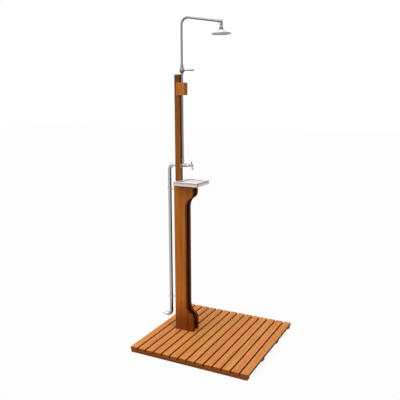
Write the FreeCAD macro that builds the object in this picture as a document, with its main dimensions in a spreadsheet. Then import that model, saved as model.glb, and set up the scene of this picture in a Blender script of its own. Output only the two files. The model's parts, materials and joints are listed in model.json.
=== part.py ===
"""Outdoor shower post: a duckboard of slats with a timber column, a soap tray and chrome plumbing.

Frame: the origin is on the ground under the centre of the duckboard, +Z is up, the slats run
along X and the shower arm reaches towards -Y. All lengths are millimetres, all angles degrees.
"""
import FreeCAD, Part
import math
import os
from types import SimpleNamespace

import Sketcher
from FreeCAD import Placement, Rotation, Vector

# ---------------------------------------------------------------------------------------------
# Driving dimensions: (alias, value, what it is)
# ---------------------------------------------------------------------------------------------
DIMENSIONS = [
    # Duckboard
    ("board_side", 900, "side of the square duckboard"),
    ("slat_gap", 10, "drain gap between two slats"),
    ("slat_thick", 20, "thickness of a slat"),
    ("slat_edge", 2.5, "radius along a slat's upper edges"),
    ("bearer_thick", 20, "height of a bearer under the slats"),
    ("bearer_wide", 40, "width of a bearer"),
    ("bearer_inset", 6, "how far a bearer ends short of the outer slats' faces"),
    ("bearer_offset", 150, "distance of the two inner bearers from the centre line"),
    ("foot_board_room", 2, "gap between the ground and the board under the column"),
    ("bolt_radius", 4, "radius of a column bolt's shank"),
    ("bolt_head_radius", 7.5, "radius over the corners of a column bolt's head"),
    ("bolt_head_high", 5.5, "height of a column bolt's head"),
    ("bolt_sink_room", 2.5, "room round a bolt's head in its sink"),
    ("bolt_sink_deep", 7, "depth of the sink for a bolt's head"),
    ("bolt_bite", 60, "length of a column bolt in its cheek"),
    ("bolt_inset", 22, "from a cheek's front or back to a column bolt"),
    ("foot_board_lap", 10, "how far the board under the column reaches past it"),
    # Timber column
    ("post_side", 40, "side of the square centre post"),
    ("column_seat", 45, "from the front edge of the slat under the column's back to that back"),
    ("post_top", 1943, "height of the centre post's top"),
    ("post_chamfer", 5, "chamfer round the centre post's top"),
    ("cheek_thick", 25, "thickness of a side cheek"),
    ("cheek_front", 52, "how far a cheek stands in front of the centre post"),
    ("cheek_top", 1138, "height of the top of the cheeks, under the shelf board"),
    ("cheek_round", 3, "rounding of a cheek's outer long edges"),
    ("block_reach", 60, "how far the foot and bracket blocks stand in front of the cheeks"),
    ("block_land", 1, "thickness left where a block runs out into the cheek"),
    ("block_edge", 1.5, "rounding and chamfer of the small blocks' edges"),
    ("foot_rise", 92, "plain upright part of a foot block's front"),
    ("bracket_drop", 35, "plain upright part of a bracket block's front"),
    ("ogee_convex", 45, "radius of the bulging part of the ogee"),
    ("ogee_hollow", 77, "radius of the hollow part of the ogee"),
    ("dowel_radius", 5, "cross dowels between the cheeks and the post"),
    ("dowel_bite", 12, "depth of a cross dowel in a cheek"),
    ("dowel_rise", 120, "height of the lowest cross dowel above the slats"),
    ("dowel_drop", 78, "from the top of the cheeks down to the highest cross dowel"),
    ("peg_radius", 4, "pegs that hold the foot and bracket blocks"),
    ("peg_bite", 18, "depth of a peg on each side of its joint"),
    ("peg_rise", 12, "from a column bolt's end up to the lowest peg"),
    ("peg_pitch", 40, "spacing of the two pegs in a block"),
    ("peg_drop", 18, "from the top of the cheeks down to the highest peg"),
    ("glue_gap", 0.05, "radial room round a dowel, a peg, a bolt shank or a pipe in its socket"),
    ("shelf_thick", 22, "thickness of the shelf board"),
    ("shelf_room", 0.1, "room between the shelf board and the centre post"),
    # Soap tray
    ("tray_side", 49, "how far the soap tray stands out beside the cheeks"),
    ("tray_overhang", 70, "how far the soap tray stands in front of the bracket blocks"),
    ("tray_wrap", 18, "how far the soap tray reaches back beside the centre post"),
    ("tray_high", 30, "height of the soap tray's folded skirt"),
    ("tray_sheet", 1.5, "thickness of the tray's steel sheet"),
    ("tray_corner", 9, "radius of the tray's upright corners"),
    ("tray_fold", 3, "radius of the fold from the tray's top to its skirt"),
    ("tray_room", 0.5, "room between the tray and the centre post"),
    ("dish_side", 20, "land of the tray on each side of its shallow dish"),
    ("dish_rim", 18, "land of the tray in front of the dish"),
    ("dish_rear", 24, "land of the tray between the dish and the centre post"),
    ("dish_deep", 6, "depth of the dish"),
    ("drain_radius", 3, "drain holes of the dish"),
    ("drain_pitch", 22, "spacing of the drain holes"),
    ("drain_inset", 22, "distance of the drain holes from the dish's front"),
    # Riser and its wooden block
    ("riser_radius", 8, "outer radius of the riser and of the shower arm"),
    ("tube_wall", 1, "wall of the riser and of the shower arm"),
    ("block_side", 6, "how far the pipe block stands out beside the centre post"),
    ("block_cover", 22, "wood in front of the riser"),
    ("block_wrap", 21, "how far the pipe block's ears reach back along the post"),
    ("block_drop", 57, "from the post's top down to the top of the pipe block"),
    ("block_high", 87, "height of the pipe block"),
    # Water inlet and supply pipe
    ("supply_room", 47, "gap between the column and the supply pipe"),
    ("supply_radius", 13, "outer radius of the supply pipe"),
    ("supply_wall", 1.5, "wall of the supply pipe"),
    ("supply_bend", 40, "bend radius at the top of the supply pipe"),
    ("supply_bite", 12, "how deep the supply pipe enters the post"),
    ("inlet_z", 131, "height of the hose inlet's axis"),
    ("inlet_bend", 32, "bend radius of the inlet elbow"),
    ("inlet_wall", 1.5, "wall of the inlet elbow round the supply pipe"),
    ("inlet_rise", 17, "from the inlet elbow's bend up to the supply pipe's end"),
    ("inlet_lap", 10, "how far the inlet elbow laps over the supply pipe"),
    ("inlet_land", 9, "straight end of the inlet elbow towards the hose"),
    ("inlet_bore", 12, "depth of the water hole in the inlet elbow's face"),
    ("spigot_long", 37, "length of the hose spigot"),
    ("spigot_radius", 9.5, "radius of the hose spigot, for hose of 19 mm bore"),
    ("spigot_wall", 2.5, "wall of the hose spigot, and what its collar stands out"),
    ("spigot_collar", 3, "thickness of the spigot's collar"),
    ("spigot_lead", 1.5, "chamfer at the spigot's free end"),
    ("spigot_step", 0.7, "how much slimmer the spigot is under its nut"),
    ("hose_nut_long", 14, "length of the hose union nut"),
    ("hose_nut_wall", 1.4, "wall of the hose union nut at its flats"),
    ("clip_rise", 101, "from the supply pipe's lower end up to the lower clip"),
    ("clip_drop", 180, "from the tap's axis down to the upper clip"),
    ("clip_wide", 26, "width of a pipe clip's wall plate"),
    ("clip_thick", 4, "thickness of a pipe clip's wall plate"),
    ("clip_tall", 44, "height of a pipe clip's wall plate"),
    ("clip_stem", 4.5, "radius of a pipe clip's stem"),
    ("clip_ring_thick", 3.5, "wall of a pipe clip's ring"),
    ("clip_ring_high", 16, "height of a pipe clip's ring"),
    # Tap
    ("tap_rise", 110, "height of the tap's axis above the soap tray"),
    ("nipple_radius", 9, "radius of the nipple through the post"),
    ("nipple_wall", 2, "wall of the nipple"),
    ("nipple_bite", 8, "length of the nipple in the tap"),
    ("flange_radius", 19, "radius of the flanges in front of and behind the post"),
    ("flange_thick", 3, "thickness of the front flange"),
    ("tap_wall", 3, "wall of the tap's barrel round the nipple"),
    ("tap_swelling", 2.5, "how far the tap's swelling stands out from its barrel"),
    ("tap_swell_ahead", 4, "how far the swelling lies in front of the riser"),
    ("tap_long", 51, "length of the tap's barrel"),
    ("outlet_wall", 1, "wall of the tap's outlet round the riser"),
    ("outlet_high", 26, "height of the tap's outlet above its axis"),
    ("riser_bite", 8, "depth of the riser in the tap's outlet"),
    ("bonnet_long", 19, "length of the tap's bonnet"),
    ("bonnet_hex_long", 11, "length of the bonnet's hexagon"),
    ("bonnet_hex_wall", 4, "how far the hexagon's corners stand out from the bonnet's neck"),
    ("bonnet_wall", 4.5, "wall of the bonnet's neck round the spindle"),
    ("spindle_radius", 4, "radius of the tap's spindle"),
    ("spindle_bite", 9, "length of the spindle in the bonnet"),
    ("run_room", 0.06, "radial running clearance of spindles and pins"),
    ("handle_gap", 14, "from the bonnet's nose to the middle of the handle's bar"),
    ("handle_half", 33, "half of the length of the tap handle's bar"),
    ("handle_radius", 4.5, "radius of the bar at the hub"),
    ("knob_swell", 1.5, "how much thicker the bar is at its rounded ends"),
    ("handle_turn", 16, "how far the bar is turned from upright at rest"),
    ("hub_wall", 4.5, "wall of the handle's hub round the spindle"),
    ("hub_half", 8, "half of the length of the handle's hub"),
    ("cap_inset", 2.5, "how much smaller than the hub its cap is"),
    ("hub_front", 4, "metal of the hub in front of the spindle"),
    ("cap_high", 3, "height of the hub's cap"),
    ("cap_edge", 1, "upright edge of the hub's cap"),
    ("riser_nut_wall", 1.5, "wall of the riser nut at its flats"),
    ("riser_nut_hex", 15, "height of the riser nut's hexagon"),
    ("riser_nut_neck", 8, "height of the riser nut's tapered neck"),
    ("riser_nut_lip", 0.8, "wall at the top of the riser nut's neck"),
    # Overhead valve
    ("valve_rise", 27, "from the post's top up to the overhead valve's centre"),
    ("valve_ball", 19, "radius of the overhead valve's ball"),
    ("valve_foot_high", 11.5, "height of the valve's foot below its ball"),
    ("valve_foot_wall", 3, "wall of the valve's foot round the riser"),
    ("valve_head_high", 5.7, "height of the valve's head above its ball"),
    ("valve_head_wall", 4.5, "how far the valve's top stands out from the arm"),
    ("pipe_bite", 9, "depth of the riser in the valve's foot"),
    ("pin_radius", 2, "radius of the lever's pin"),
    ("pin_bite", 7.5, "length of the pin in the blind side of the valve"),
    ("pin_sink", 2, "how far the pin's open end lies inside the ball's radius"),
    ("eye_wall", 5, "wall of the lever's eye round its pin"),
    ("eye_half", 4.2, "half of the width of the lever's eye"),
    ("eye_room", 0.3, "room on each side of the lever's eye"),
    ("stem_radius", 3.4, "radius of the lever's stem in the slot"),
    ("stem_room", 0.8, "room round the lever's stem"),
    ("skirt_angle", 25, "half of the angle that the lever's skirt covers"),
    ("skirt_thick", 2, "thickness of the lever's skirt"),
    ("lever_long", 96, "from the valve's centre to the lever's free end"),
    ("lever_thin", 3.6, "radius of the lever's rod at its skirt"),
    ("lever_thick", 5.8, "radius of the lever's round end"),
    ("lever_lift", 20, "how far the lever lifts"),
    ("collar_high", 23, "height of the conical collar over the valve"),
    ("collar_plain", 4, "straight part of the collar"),
    ("collar_wall", 1.6, "wall of the collar at its tip"),
    # Arm and shower head
    ("arm_rise", 308, "from the valve's centre up to the start of the gooseneck"),
    ("bend_radius", 46, "radius of the gooseneck bend"),
    ("arm_slope", 9.7, "fall of the arm below level"),
    ("arm_reach", 304, "from the riser to the middle of the shower head"),
    ("elbow_wall", 2.5, "wall of the elbow at the end of the arm"),
    ("elbow_socket", 20, "length of the elbow's socket from its corner"),
    ("elbow_stop", 9, "where the arm ends before the elbow's corner"),
    ("elbow_leg", 29.6, "from the elbow's corner down to its end"),
    ("neck_long", 15, "from the elbow down to the centre of the ball joint"),
    ("neck_radius", 4, "radius of the ball's neck"),
    ("neck_swing", 3.8, "room round the neck in the nut's mouth"),
    ("ball_radius", 9, "radius of the ball"),
    ("seat_room", 0.15, "room on each side of the ball seat"),
    ("seat_thick", 1.85, "thickness of the ball seat"),
    ("seat_low", 0.2, "lower edge of the seat above the ball's middle"),
    ("seat_swing", 3.24, "room round the neck at the seat's upper edge"),
    ("swivel_wall", 2.3, "wall of the swivel nut"),
    ("swivel_lip", 1, "thickness of the nut's lip over the seat"),
    ("swivel_bevel", 3, "bevel round the nut's upper edge"),
    ("swivel_fall", 8, "how far the nut reaches below the ball's middle"),
    ("plug_top", 3, "top of the head's plug below the ball's middle"),
    ("head_radius", 68, "radius of the shower head"),
    ("head_rim", 4, "thickness of the shower head at its rim"),
    ("head_edge", 1.5, "bevel of the shower head's upper edge"),
    ("head_drop", 37, "from the ball's centre down to the head's underside"),
    ("head_tilt", 1.5, "how far the head's front is tipped up at rest"),
    ("horn_top", 12, "radius of the head's horn under the nut"),
    ("horn_foot", 36, "radius of the head's horn where it meets the disc"),
    ("horn_curve", 44, "hollow radius of the head's horn"),
    ("horn_step", 1, "how far the horn stands over the disc where they meet"),
    ("horn_wall", 8, "metal between the ball and the head's water room"),
    ("horn_bore", 5, "radius of the top of the head's water room"),
    ("disc_wall", 1.2, "wall of the head's disc"),
    ("face_thick", 1.4, "thickness of the spray face"),
    ("nozzle_radius", 1.6, "radius of a nozzle"),
    ("nozzle_high", 1.2, "how far a nozzle stands out"),
    ("face_margin", 17.5, "plain rim of the spray face outside its nozzles"),
]
SLAT_COUNT = 14
SLATS_BEHIND = 2
DRAIN_COUNT = 5
DOWEL_COUNT = 4
HEX_HALF_ANGLE = 30
TOUCH = 0.01
RING_COUNT = 3
FIRST_RING_COUNT = 6

DOC = FreeCAD.newDocument("ShowerPost")
NODES = []


# ---------------------------------------------------------------------------------------------
# Sizes that carry their number and their spreadsheet expression together
# ---------------------------------------------------------------------------------------------
class Size:
    """A length or angle: its number for drawing, its text for binding."""

    def __init__(self, number, text):
        self.number = float(number)
        self.text = text

    def __add__(self, other):
        return combine(self, "+", other)

    def __radd__(self, other):
        return combine(other, "+", self)

    def __sub__(self, other):
        return combine(self, "-", other)

    def __rsub__(self, other):
        return combine(other, "-", self)

    def __mul__(self, other):
        return combine(self, "*", other)

    def __rmul__(self, other):
        return combine(other, "*", self)

    def __truediv__(self, other):
        return combine(self, "/", other)

    def __neg__(self):
        return combine(0, "-", self)


def as_size(value):
    """Returns a plain number as a Size, and a Size unchanged."""
    if isinstance(value, Size):
        return value
    return Size(value, "({0:.6f})".format(float(value)))


def combine(left, sign, right):
    """Returns the Size for one arithmetic step."""
    left = as_size(left)
    right = as_size(right)
    numbers = {
        "+": lambda a, b: a + b,
        "-": lambda a, b: a - b,
        "*": lambda a, b: a * b,
        "/": lambda a, b: a / b,
    }
    number = numbers[sign](left.number, right.number)
    return Size(number, "({0} {1} {2})".format(left.text, sign, right.text))


def root(size):
    """Returns the square root of a Size."""
    return Size(math.sqrt(size.number), "sqrt({0})".format(size.text))


def sine(angle):
    """Returns the sine of an angle in degrees."""
    angle = as_size(angle)
    return Size(math.sin(math.radians(angle.number)), "sin({0} * 1 deg)".format(angle.text))


def cosine(angle):
    """Returns the cosine of an angle in degrees."""
    angle = as_size(angle)
    return Size(math.cos(math.radians(angle.number)), "cos({0} * 1 deg)".format(angle.text))


def fill_sheet():
    """Writes the driving dimensions into the spreadsheet and returns them by alias."""
    sheet = DOC.addObject("Spreadsheet::Sheet", "Dims")
    sizes = {}
    for row, (alias, value, meaning) in enumerate(DIMENSIONS, start=1):
        sheet.set("A{0}".format(row), meaning)
        sheet.set("B{0}".format(row), str(value))
        sheet.setAlias("B{0}".format(row), alias)
        sizes[alias] = Size(value, "Dims." + alias)
    DOC.recompute()
    return SimpleNamespace(**sizes)


D = fill_sheet()

# Duckboard and column
SLAT_TOP = D.bearer_thick + D.slat_thick
SLAT_WIDE = (D.board_side + D.slat_gap) / SLAT_COUNT - D.slat_gap
SLAT_PITCH = SLAT_WIDE + D.slat_gap
REAR_SLAT = -D.board_side / 2 + SLAT_PITCH * (SLAT_COUNT - SLATS_BEHIND - 1)
BOLT_HOLE = D.bolt_radius + D.glue_gap
POST_HALF = D.post_side / 2
POST_BACK = REAR_SLAT + D.column_seat
POST_FRONT = POST_BACK - D.post_side
POST_MID = POST_BACK - POST_HALF
CHEEK_FRONT = POST_FRONT - D.cheek_front
CHEEK_MID = POST_HALF + D.cheek_thick / 2
COLUMN_HALF = POST_HALF + D.cheek_thick
BLOCK_NOSE = CHEEK_FRONT - D.block_reach
OGEE_REACH = D.block_reach - D.block_land
OGEE_SUM = D.ogee_convex + D.ogee_hollow
OGEE_HIGH = root(OGEE_SUM * OGEE_SUM - (OGEE_SUM - OGEE_REACH) * (OGEE_SUM - OGEE_REACH))
OGEE_SHARE = D.ogee_convex / OGEE_SUM

# Shelf and tray
SHELF_TOP = D.cheek_top + D.shelf_thick
TRAY_TOP = SHELF_TOP + D.tray_high
UNDER_TOP = TRAY_TOP - D.tray_sheet
TRAY_HALF = COLUMN_HALF + D.tray_side
TRAY_FRONT = BLOCK_NOSE - D.tray_overhang
TRAY_BACK = POST_FRONT + D.tray_wrap
DISH_HALF = TRAY_HALF - D.dish_side
DISH_FRONT = TRAY_FRONT + D.dish_rim
DISH_BACK = POST_FRONT - D.dish_rear
DRAIN_ROW = DISH_FRONT + D.drain_inset

# Tap and riser
TAP_Z = TRAY_TOP + D.tap_rise
TAP_REAR = POST_FRONT - D.flange_thick
TAP_RADIUS = D.nipple_radius + D.tap_wall
SWELL_RADIUS = TAP_RADIUS + D.tap_swelling
OUTLET_RADIUS = D.riser_radius + D.outlet_wall
RISER_Y = TAP_REAR - OUTLET_RADIUS
TAP_NOSE = TAP_REAR - D.tap_long
BONNET_NOSE = TAP_NOSE - D.bonnet_long
BONNET_NECK = D.spindle_radius + D.bonnet_wall
BONNET_CORNER = BONNET_NECK + D.bonnet_hex_wall
HANDLE_Y = BONNET_NOSE - D.handle_gap
HUB_RADIUS = D.spindle_radius + D.hub_wall
CAP_RADIUS = HUB_RADIUS - D.cap_inset
RISER_NUT_FLAT = D.riser_radius + D.riser_nut_wall
BLOCK_HALF = POST_HALF + D.block_side
BLOCK_FRONT = RISER_Y - D.riser_radius - D.block_cover
BLOCK_BASE = D.post_top - D.block_drop - D.block_high

# Water inlet and supply pipe
SUPPLY_Y = POST_BACK + D.supply_room + D.supply_radius
SUPPLY_BASE = D.inlet_z + D.inlet_bend + D.inlet_rise
INLET_RADIUS = D.supply_radius + D.inlet_wall
INLET_FACE = SUPPLY_Y + D.inlet_bend + D.inlet_land
SPIGOT_BORE = D.spigot_radius - D.spigot_wall
COLLAR_RADIUS = D.spigot_radius + D.spigot_wall
HOSE_NUT_FLAT = COLLAR_RADIUS + D.glue_gap + D.hose_nut_wall

# Overhead valve and its lever
VALVE_Z = D.post_top + D.valve_rise
FOOT_RADIUS = D.riser_radius + D.valve_foot_wall
VALVE_NECK = D.riser_radius + D.valve_head_wall
BALL_LOW = root(D.valve_ball * D.valve_ball - FOOT_RADIUS * FOOT_RADIUS)
BALL_HIGH = root(D.valve_ball * D.valve_ball - VALVE_NECK * VALVE_NECK)
VALVE_FOOT = BALL_LOW + D.valve_foot_high
VALVE_HEAD = BALL_HIGH + D.valve_head_high
EYE_RADIUS = D.pin_radius + D.eye_wall
SLOT_HALF = D.eye_half + D.eye_room
PIN_LEFT = SLOT_HALF + D.pin_bite
PIN_RIGHT = D.valve_ball - D.pin_sink
LEVER_TIP = RISER_Y - D.lever_long
COLLAR_TIP = D.riser_radius + D.collar_wall

# Arm and shower head
BEND_Z = VALVE_Z + D.arm_rise
HEAD_Y = RISER_Y - D.arm_reach
ARM_RUN = D.arm_reach - D.bend_radius - D.bend_radius * sine(D.arm_slope)
ARM_END_Z = (BEND_Z + D.bend_radius * cosine(D.arm_slope)
             - ARM_RUN * sine(D.arm_slope) / cosine(D.arm_slope))
ELBOW_RADIUS = D.riser_radius + D.elbow_wall
ELBOW_BASE = ARM_END_Z - D.elbow_leg
BALL_Z = ELBOW_BASE - D.neck_long
HEAD_CENTRE = (0, HEAD_Y, BALL_Z)
SEAT_INNER = D.ball_radius + D.seat_room
SEAT_OUTER = SEAT_INNER + D.seat_thick
CUP_RADIUS = SEAT_INNER + D.seat_room
CAVE_RADIUS = SEAT_OUTER + D.seat_room
MOUTH_RADIUS = D.neck_radius + D.neck_swing
MOUTH_HIGH = root(CAVE_RADIUS * CAVE_RADIUS - MOUTH_RADIUS * MOUTH_RADIUS)
NUT_RISE = MOUTH_HIGH + D.swivel_lip
NUT_BORE = CAVE_RADIUS + D.glue_gap
NUT_RADIUS = NUT_BORE + D.swivel_wall
FACE_RADIUS = D.head_radius - 2 * D.disc_wall

ALONG_X = Rotation(Vector(0, 1, 0), 90)
ALONG_FRONT = Rotation(Vector(1, 0, 0), 90)
ALONG_BACK = Rotation(Vector(1, 0, 0), -90)
UPRIGHT = Rotation()


# ---------------------------------------------------------------------------------------------
# Drawing helpers
# ---------------------------------------------------------------------------------------------
def node(obj, label):
    """Names an object as one exported piece."""
    obj.Label = label
    NODES.append(obj)
    return obj


def bind(obj, **sizes):
    """Binds properties of an object to Sizes."""
    for name, size in sizes.items():
        obj.setExpression(name, as_size(size).text)


def place(obj, x, y, z, rotation=UPRIGHT):
    """Puts an object at a bound position."""
    base = [as_size(value) for value in (x, y, z)]
    obj.Placement = Placement(Vector(*[value.number for value in base]), rotation)
    for axis, value in zip("xyz", base):
        obj.setExpression("Placement.Base." + axis, value.text)
    return obj


def box(name, low, span):
    """Returns a Part box from its low corner and its three sizes."""
    obj = DOC.addObject("Part::Box", name)
    bind(obj, Length=span[0], Width=span[1], Height=span[2])
    return place(obj, *low)


def rod(name, radius, length, start, rotation=UPRIGHT):
    """Returns a Part cylinder that starts at a point and runs along its turned Z axis."""
    obj = DOC.addObject("Part::Cylinder", name)
    bind(obj, Radius=radius, Height=length)
    return place(obj, *start, rotation)


def taper(name, radius_start, radius_end, length, start, rotation=UPRIGHT):
    """Returns a Part cone that starts at a point and runs along its turned Z axis."""
    obj = DOC.addObject("Part::Cone", name)
    bind(obj, Radius1=radius_start, Radius2=radius_end, Height=length)
    return place(obj, *start, rotation)


def ball(name, radius, centre):
    """Returns a Part sphere."""
    obj = DOC.addObject("Part::Sphere", name)
    bind(obj, Radius=radius)
    return place(obj, *centre)


def hexagon(name, corner_radius, length, start, rotation=UPRIGHT):
    """Returns a hexagonal Part prism."""
    obj = DOC.addObject("Part::Prism", name)
    obj.Polygon = 6
    bind(obj, Circumradius=corner_radius, Height=length)
    return place(obj, *start, rotation)


def fuse(name, shapes):
    """Returns the fusion of several Part objects."""
    obj = DOC.addObject("Part::MultiFuse", name)
    obj.Shapes = shapes
    obj.Refine = True
    return obj


def cut(name, base, tools):
    """Returns a Part object with tools cut out of it."""
    obj = DOC.addObject("Part::Cut", name)
    obj.Base = base
    obj.Tool = tools[0] if len(tools) == 1 else fuse(name + "_tools", tools)
    obj.Refine = True
    return obj


def group(name, shapes):
    """Returns separate solids held together as one compound."""
    obj = DOC.addObject("Part::Compound", name)
    obj.Links = shapes
    return obj


def new_body(label):
    """Starts a PartDesign body for one piece."""
    return node(DOC.addObject("PartDesign::Body", label), label)


def new_sketch(body, plane, name, offset=0):
    """Returns a sketch on one of the body's own origin planes, moved along its normal."""
    sketch = body.newObject("Sketcher::SketchObject", body.Label + "_" + name)
    support = [item for item in body.Origin.OriginFeatures if item.Role == plane + "_Plane"][0]
    sketch.AttachmentSupport = [(support, "")]
    sketch.MapMode = "FlatFace"
    sketch.setExpression("AttachmentOffset.Base.z", as_size(offset).text)
    return sketch


def pin_point(sketch, edge, end, point):
    """Ties one end of an edge to bound coordinates."""
    for kind, axis, value in (("DistanceX", -2, point[0]), ("DistanceY", -1, point[1])):
        size = as_size(value)
        if size.number == 0:
            sketch.addConstraint(Sketcher.Constraint("PointOnObject", edge, end, axis))
            continue
        index = sketch.addConstraint(Sketcher.Constraint(kind, -1, 1, edge, end, size.number))
        sketch.setExpression("Constraints[{0}]".format(index), size.text)


def add_arc(sketch, start, finish, radius, left):
    """Adds an arc between two points; left says on which side of the chord its centre lies.

    Returns the edge's index and which of its ends is the start.
    """
    first = Vector(start[0].number, start[1].number, 0)
    last = Vector(finish[0].number, finish[1].number, 0)
    chord = last - first
    half = chord.Length / 2
    depth = math.sqrt(max(radius.number ** 2 - half ** 2, 0))
    side = Vector(-chord.y, chord.x, 0).normalize() * (depth if left else -depth)
    centre = first + chord * 0.5 + side
    angles = [math.atan2(point.y - centre.y, point.x - centre.x) for point in (first, last)]
    if not left:
        angles.reverse()
    circle = Part.Circle(centre, Vector(0, 0, 1), radius.number)
    edge = sketch.addGeometry(Part.ArcOfCircle(circle, angles[0], angles[1]), False)
    index = sketch.addConstraint(Sketcher.Constraint("Radius", edge, radius.number))
    sketch.setExpression("Constraints[{0}]".format(index), radius.text)
    return edge, 1 if left else 2


def draw(sketch, points, arcs=None, closed=True):
    """Draws a chain of lines and arcs through bound points.

    arcs maps the index of an edge's first point to (radius, centre is on the left).
    """
    points = [(as_size(x), as_size(y)) for x, y in points]
    arcs = arcs or {}
    count = len(points) if closed else len(points) - 1
    ends = []
    for index in range(count):
        start = points[index]
        finish = points[(index + 1) % len(points)]
        if index in arcs:
            radius, left = arcs[index]
            edge, begin = add_arc(sketch, start, finish, as_size(radius), left)
        else:
            line = Part.LineSegment(Vector(start[0].number, start[1].number, 0),
                                    Vector(finish[0].number, finish[1].number, 0))
            edge = sketch.addGeometry(line, False)
            begin = 1
        ends.append((edge, begin, 3 - begin))
    for index in range(count):
        edge, begin, finish = ends[index]
        pin_point(sketch, edge, begin, points[index])
        if index + 1 < count or closed:
            following = ends[(index + 1) % count]
            joint = Sketcher.Constraint("Coincident", edge, finish, following[0], following[1])
            sketch.addConstraint(joint)
        else:
            pin_point(sketch, edge, finish, points[index + 1])
    return sketch


def draw_circle(sketch, centre, radius):
    """Draws a bound circle."""
    centre = [as_size(value) for value in centre]
    radius = as_size(radius)
    middle = Vector(centre[0].number, centre[1].number, 0)
    edge = sketch.addGeometry(Part.Circle(middle, Vector(0, 0, 1), radius.number), False)
    pin_point(sketch, edge, 3, centre)
    index = sketch.addConstraint(Sketcher.Constraint("Radius", edge, radius.number))
    sketch.setExpression("Constraints[{0}]".format(index), radius.text)


def rectangle(x_low, x_high, y_low, y_high):
    """Returns the four corners of a rectangle."""
    return [(x_low, y_low), (x_high, y_low), (x_high, y_high), (x_low, y_high)]


def pad(body, sketch, length):
    """Pads a sketch along its normal."""
    feature = body.newObject("PartDesign::Pad", sketch.Name + "_pad")
    feature.Profile = sketch
    bind(feature, Length=length)
    sketch.Visibility = False
    return feature


def pocket(body, sketch, length, forward):
    """Cuts a sketch into the body, along its normal if forward, and checks that it cut."""
    DOC.recompute()
    before = body.Shape.Volume
    feature = body.newObject("PartDesign::Pocket", sketch.Name + "_pocket")
    feature.Profile = sketch
    feature.Reversed = forward
    bind(feature, Length=length)
    DOC.recompute()
    if not feature.Shape.Volume < before - 1e-6:
        raise RuntimeError(sketch.Name + " cut nothing")
    return feature


def drill(body, plane, name, offset, centres, radius, length, forward):
    """Drills round holes of one radius and depth."""
    sketch = new_sketch(body, plane, name, offset)
    for centre in centres:
        draw_circle(sketch, centre, radius)
    return pocket(body, sketch, length, forward)


def revolve(body, points, arcs=None):
    """Turns a closed (radius, height) profile about the body's Z axis."""
    sketch = draw(new_sketch(body, "XZ", "profile"), points, arcs)
    feature = body.newObject("PartDesign::Revolution", sketch.Name + "_turn")
    feature.Profile = sketch
    feature.ReferenceAxis = (sketch, ["V_Axis"])
    feature.Angle = 360
    return feature


def soften(body, kind, size, wanted):
    """Fillets or chamfers the edges of the body that a test picks."""
    DOC.recompute()
    base = body.Tip
    names = ["Edge{0}".format(index)
             for index, edge in enumerate(base.Shape.Edges, start=1) if wanted(edge)]
    if not names:
        raise RuntimeError("no edge to soften on " + body.Label)
    feature = body.newObject("PartDesign::" + kind, body.Label + "_" + kind.lower())
    feature.Base = (base, names)
    bind(feature, **{"Radius" if kind == "Fillet" else "Size": size})
    DOC.recompute()
    if "Invalid" in feature.State or feature.Shape.isNull():
        raise RuntimeError(feature.Name + " failed")
    return feature


def is_upright(edge, longer_than=1.0):
    """Says whether an edge is a straight vertical line."""
    if not isinstance(edge.Curve, Part.Line) and edge.Curve.TypeId != "Part::GeomLine":
        return False
    return abs(edge.tangentAt(edge.FirstParameter).z) > 0.999 and edge.Length > longer_than


def tube(body, route, arcs, start_plane, start_offset, centre, outer, wall):
    """Sweeps a ring along a route of lines and arcs in the YZ plane."""
    path = draw(new_sketch(body, "YZ", "route"), route, arcs, closed=False)
    ring = new_sketch(body, start_plane, "ring", start_offset)
    draw_circle(ring, centre, outer)
    draw_circle(ring, centre, outer - wall)
    feature = body.newObject("PartDesign::AdditivePipe", body.Label + "_sweep")
    feature.Profile = ring
    feature.Spine = path
    return feature


# ---------------------------------------------------------------------------------------------
# Duckboard
# ---------------------------------------------------------------------------------------------
def slat_front(number):
    """Returns where the front edge of a slat lies."""
    return -D.board_side / 2 + SLAT_PITCH * (number - 1)


def bolt_places():
    """Returns where the four column bolts stand, two under each cheek."""
    rows = (CHEEK_FRONT + D.bolt_inset, POST_BACK - D.bolt_inset)
    return [(side * CHEEK_MID, row) for side in (-1, 1) for row in rows]


def bolts_through(number):
    """Returns the column bolts that pass through a slat, seen from the slat's front edge."""
    front = slat_front(number)
    places = [(x, y - front) for x, y in bolt_places()]
    return [(x, y) for x, y in places
            if -BOLT_HOLE.number < y.number < (SLAT_WIDE + BOLT_HOLE).number]


def make_slats():
    """Makes the slats: long boards with rounded upper edges, drilled under the column."""
    edge = D.slat_edge
    outline = [(0, 0), (SLAT_WIDE, 0), (SLAT_WIDE, D.slat_thick - edge),
               (SLAT_WIDE - edge, D.slat_thick), (edge, D.slat_thick),
               (0, D.slat_thick - edge)]
    for number in range(1, SLAT_COUNT + 1):
        body = new_body("slat_{0:02d}".format(number))
        section = new_sketch(body, "YZ", "section", -D.board_side / 2)
        draw(section, outline, {2: (edge, True), 4: (edge, True)})
        pad(body, section, D.board_side)
        centres = bolts_through(number)
        if centres:
            drill(body, "XY", "bolt_holes", 0, centres, BOLT_HOLE, D.slat_thick, True)
        place(body, 0, slat_front(number), D.bearer_thick)


def make_bearers():
    """Makes the four bearers, two under the slats' ends and two between them."""
    length = D.board_side - 2 * D.bearer_inset
    rows = [-D.board_side / 2, -D.bearer_offset - D.bearer_wide / 2,
            D.bearer_offset - D.bearer_wide / 2, D.board_side / 2 - D.bearer_wide]
    for number, left in enumerate(rows, start=1):
        name = "bearer_{0}".format(number)
        low = (left, -length / 2, 0)
        node(box(name, low, (D.bearer_wide, length, D.bearer_thick)), name)


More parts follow.
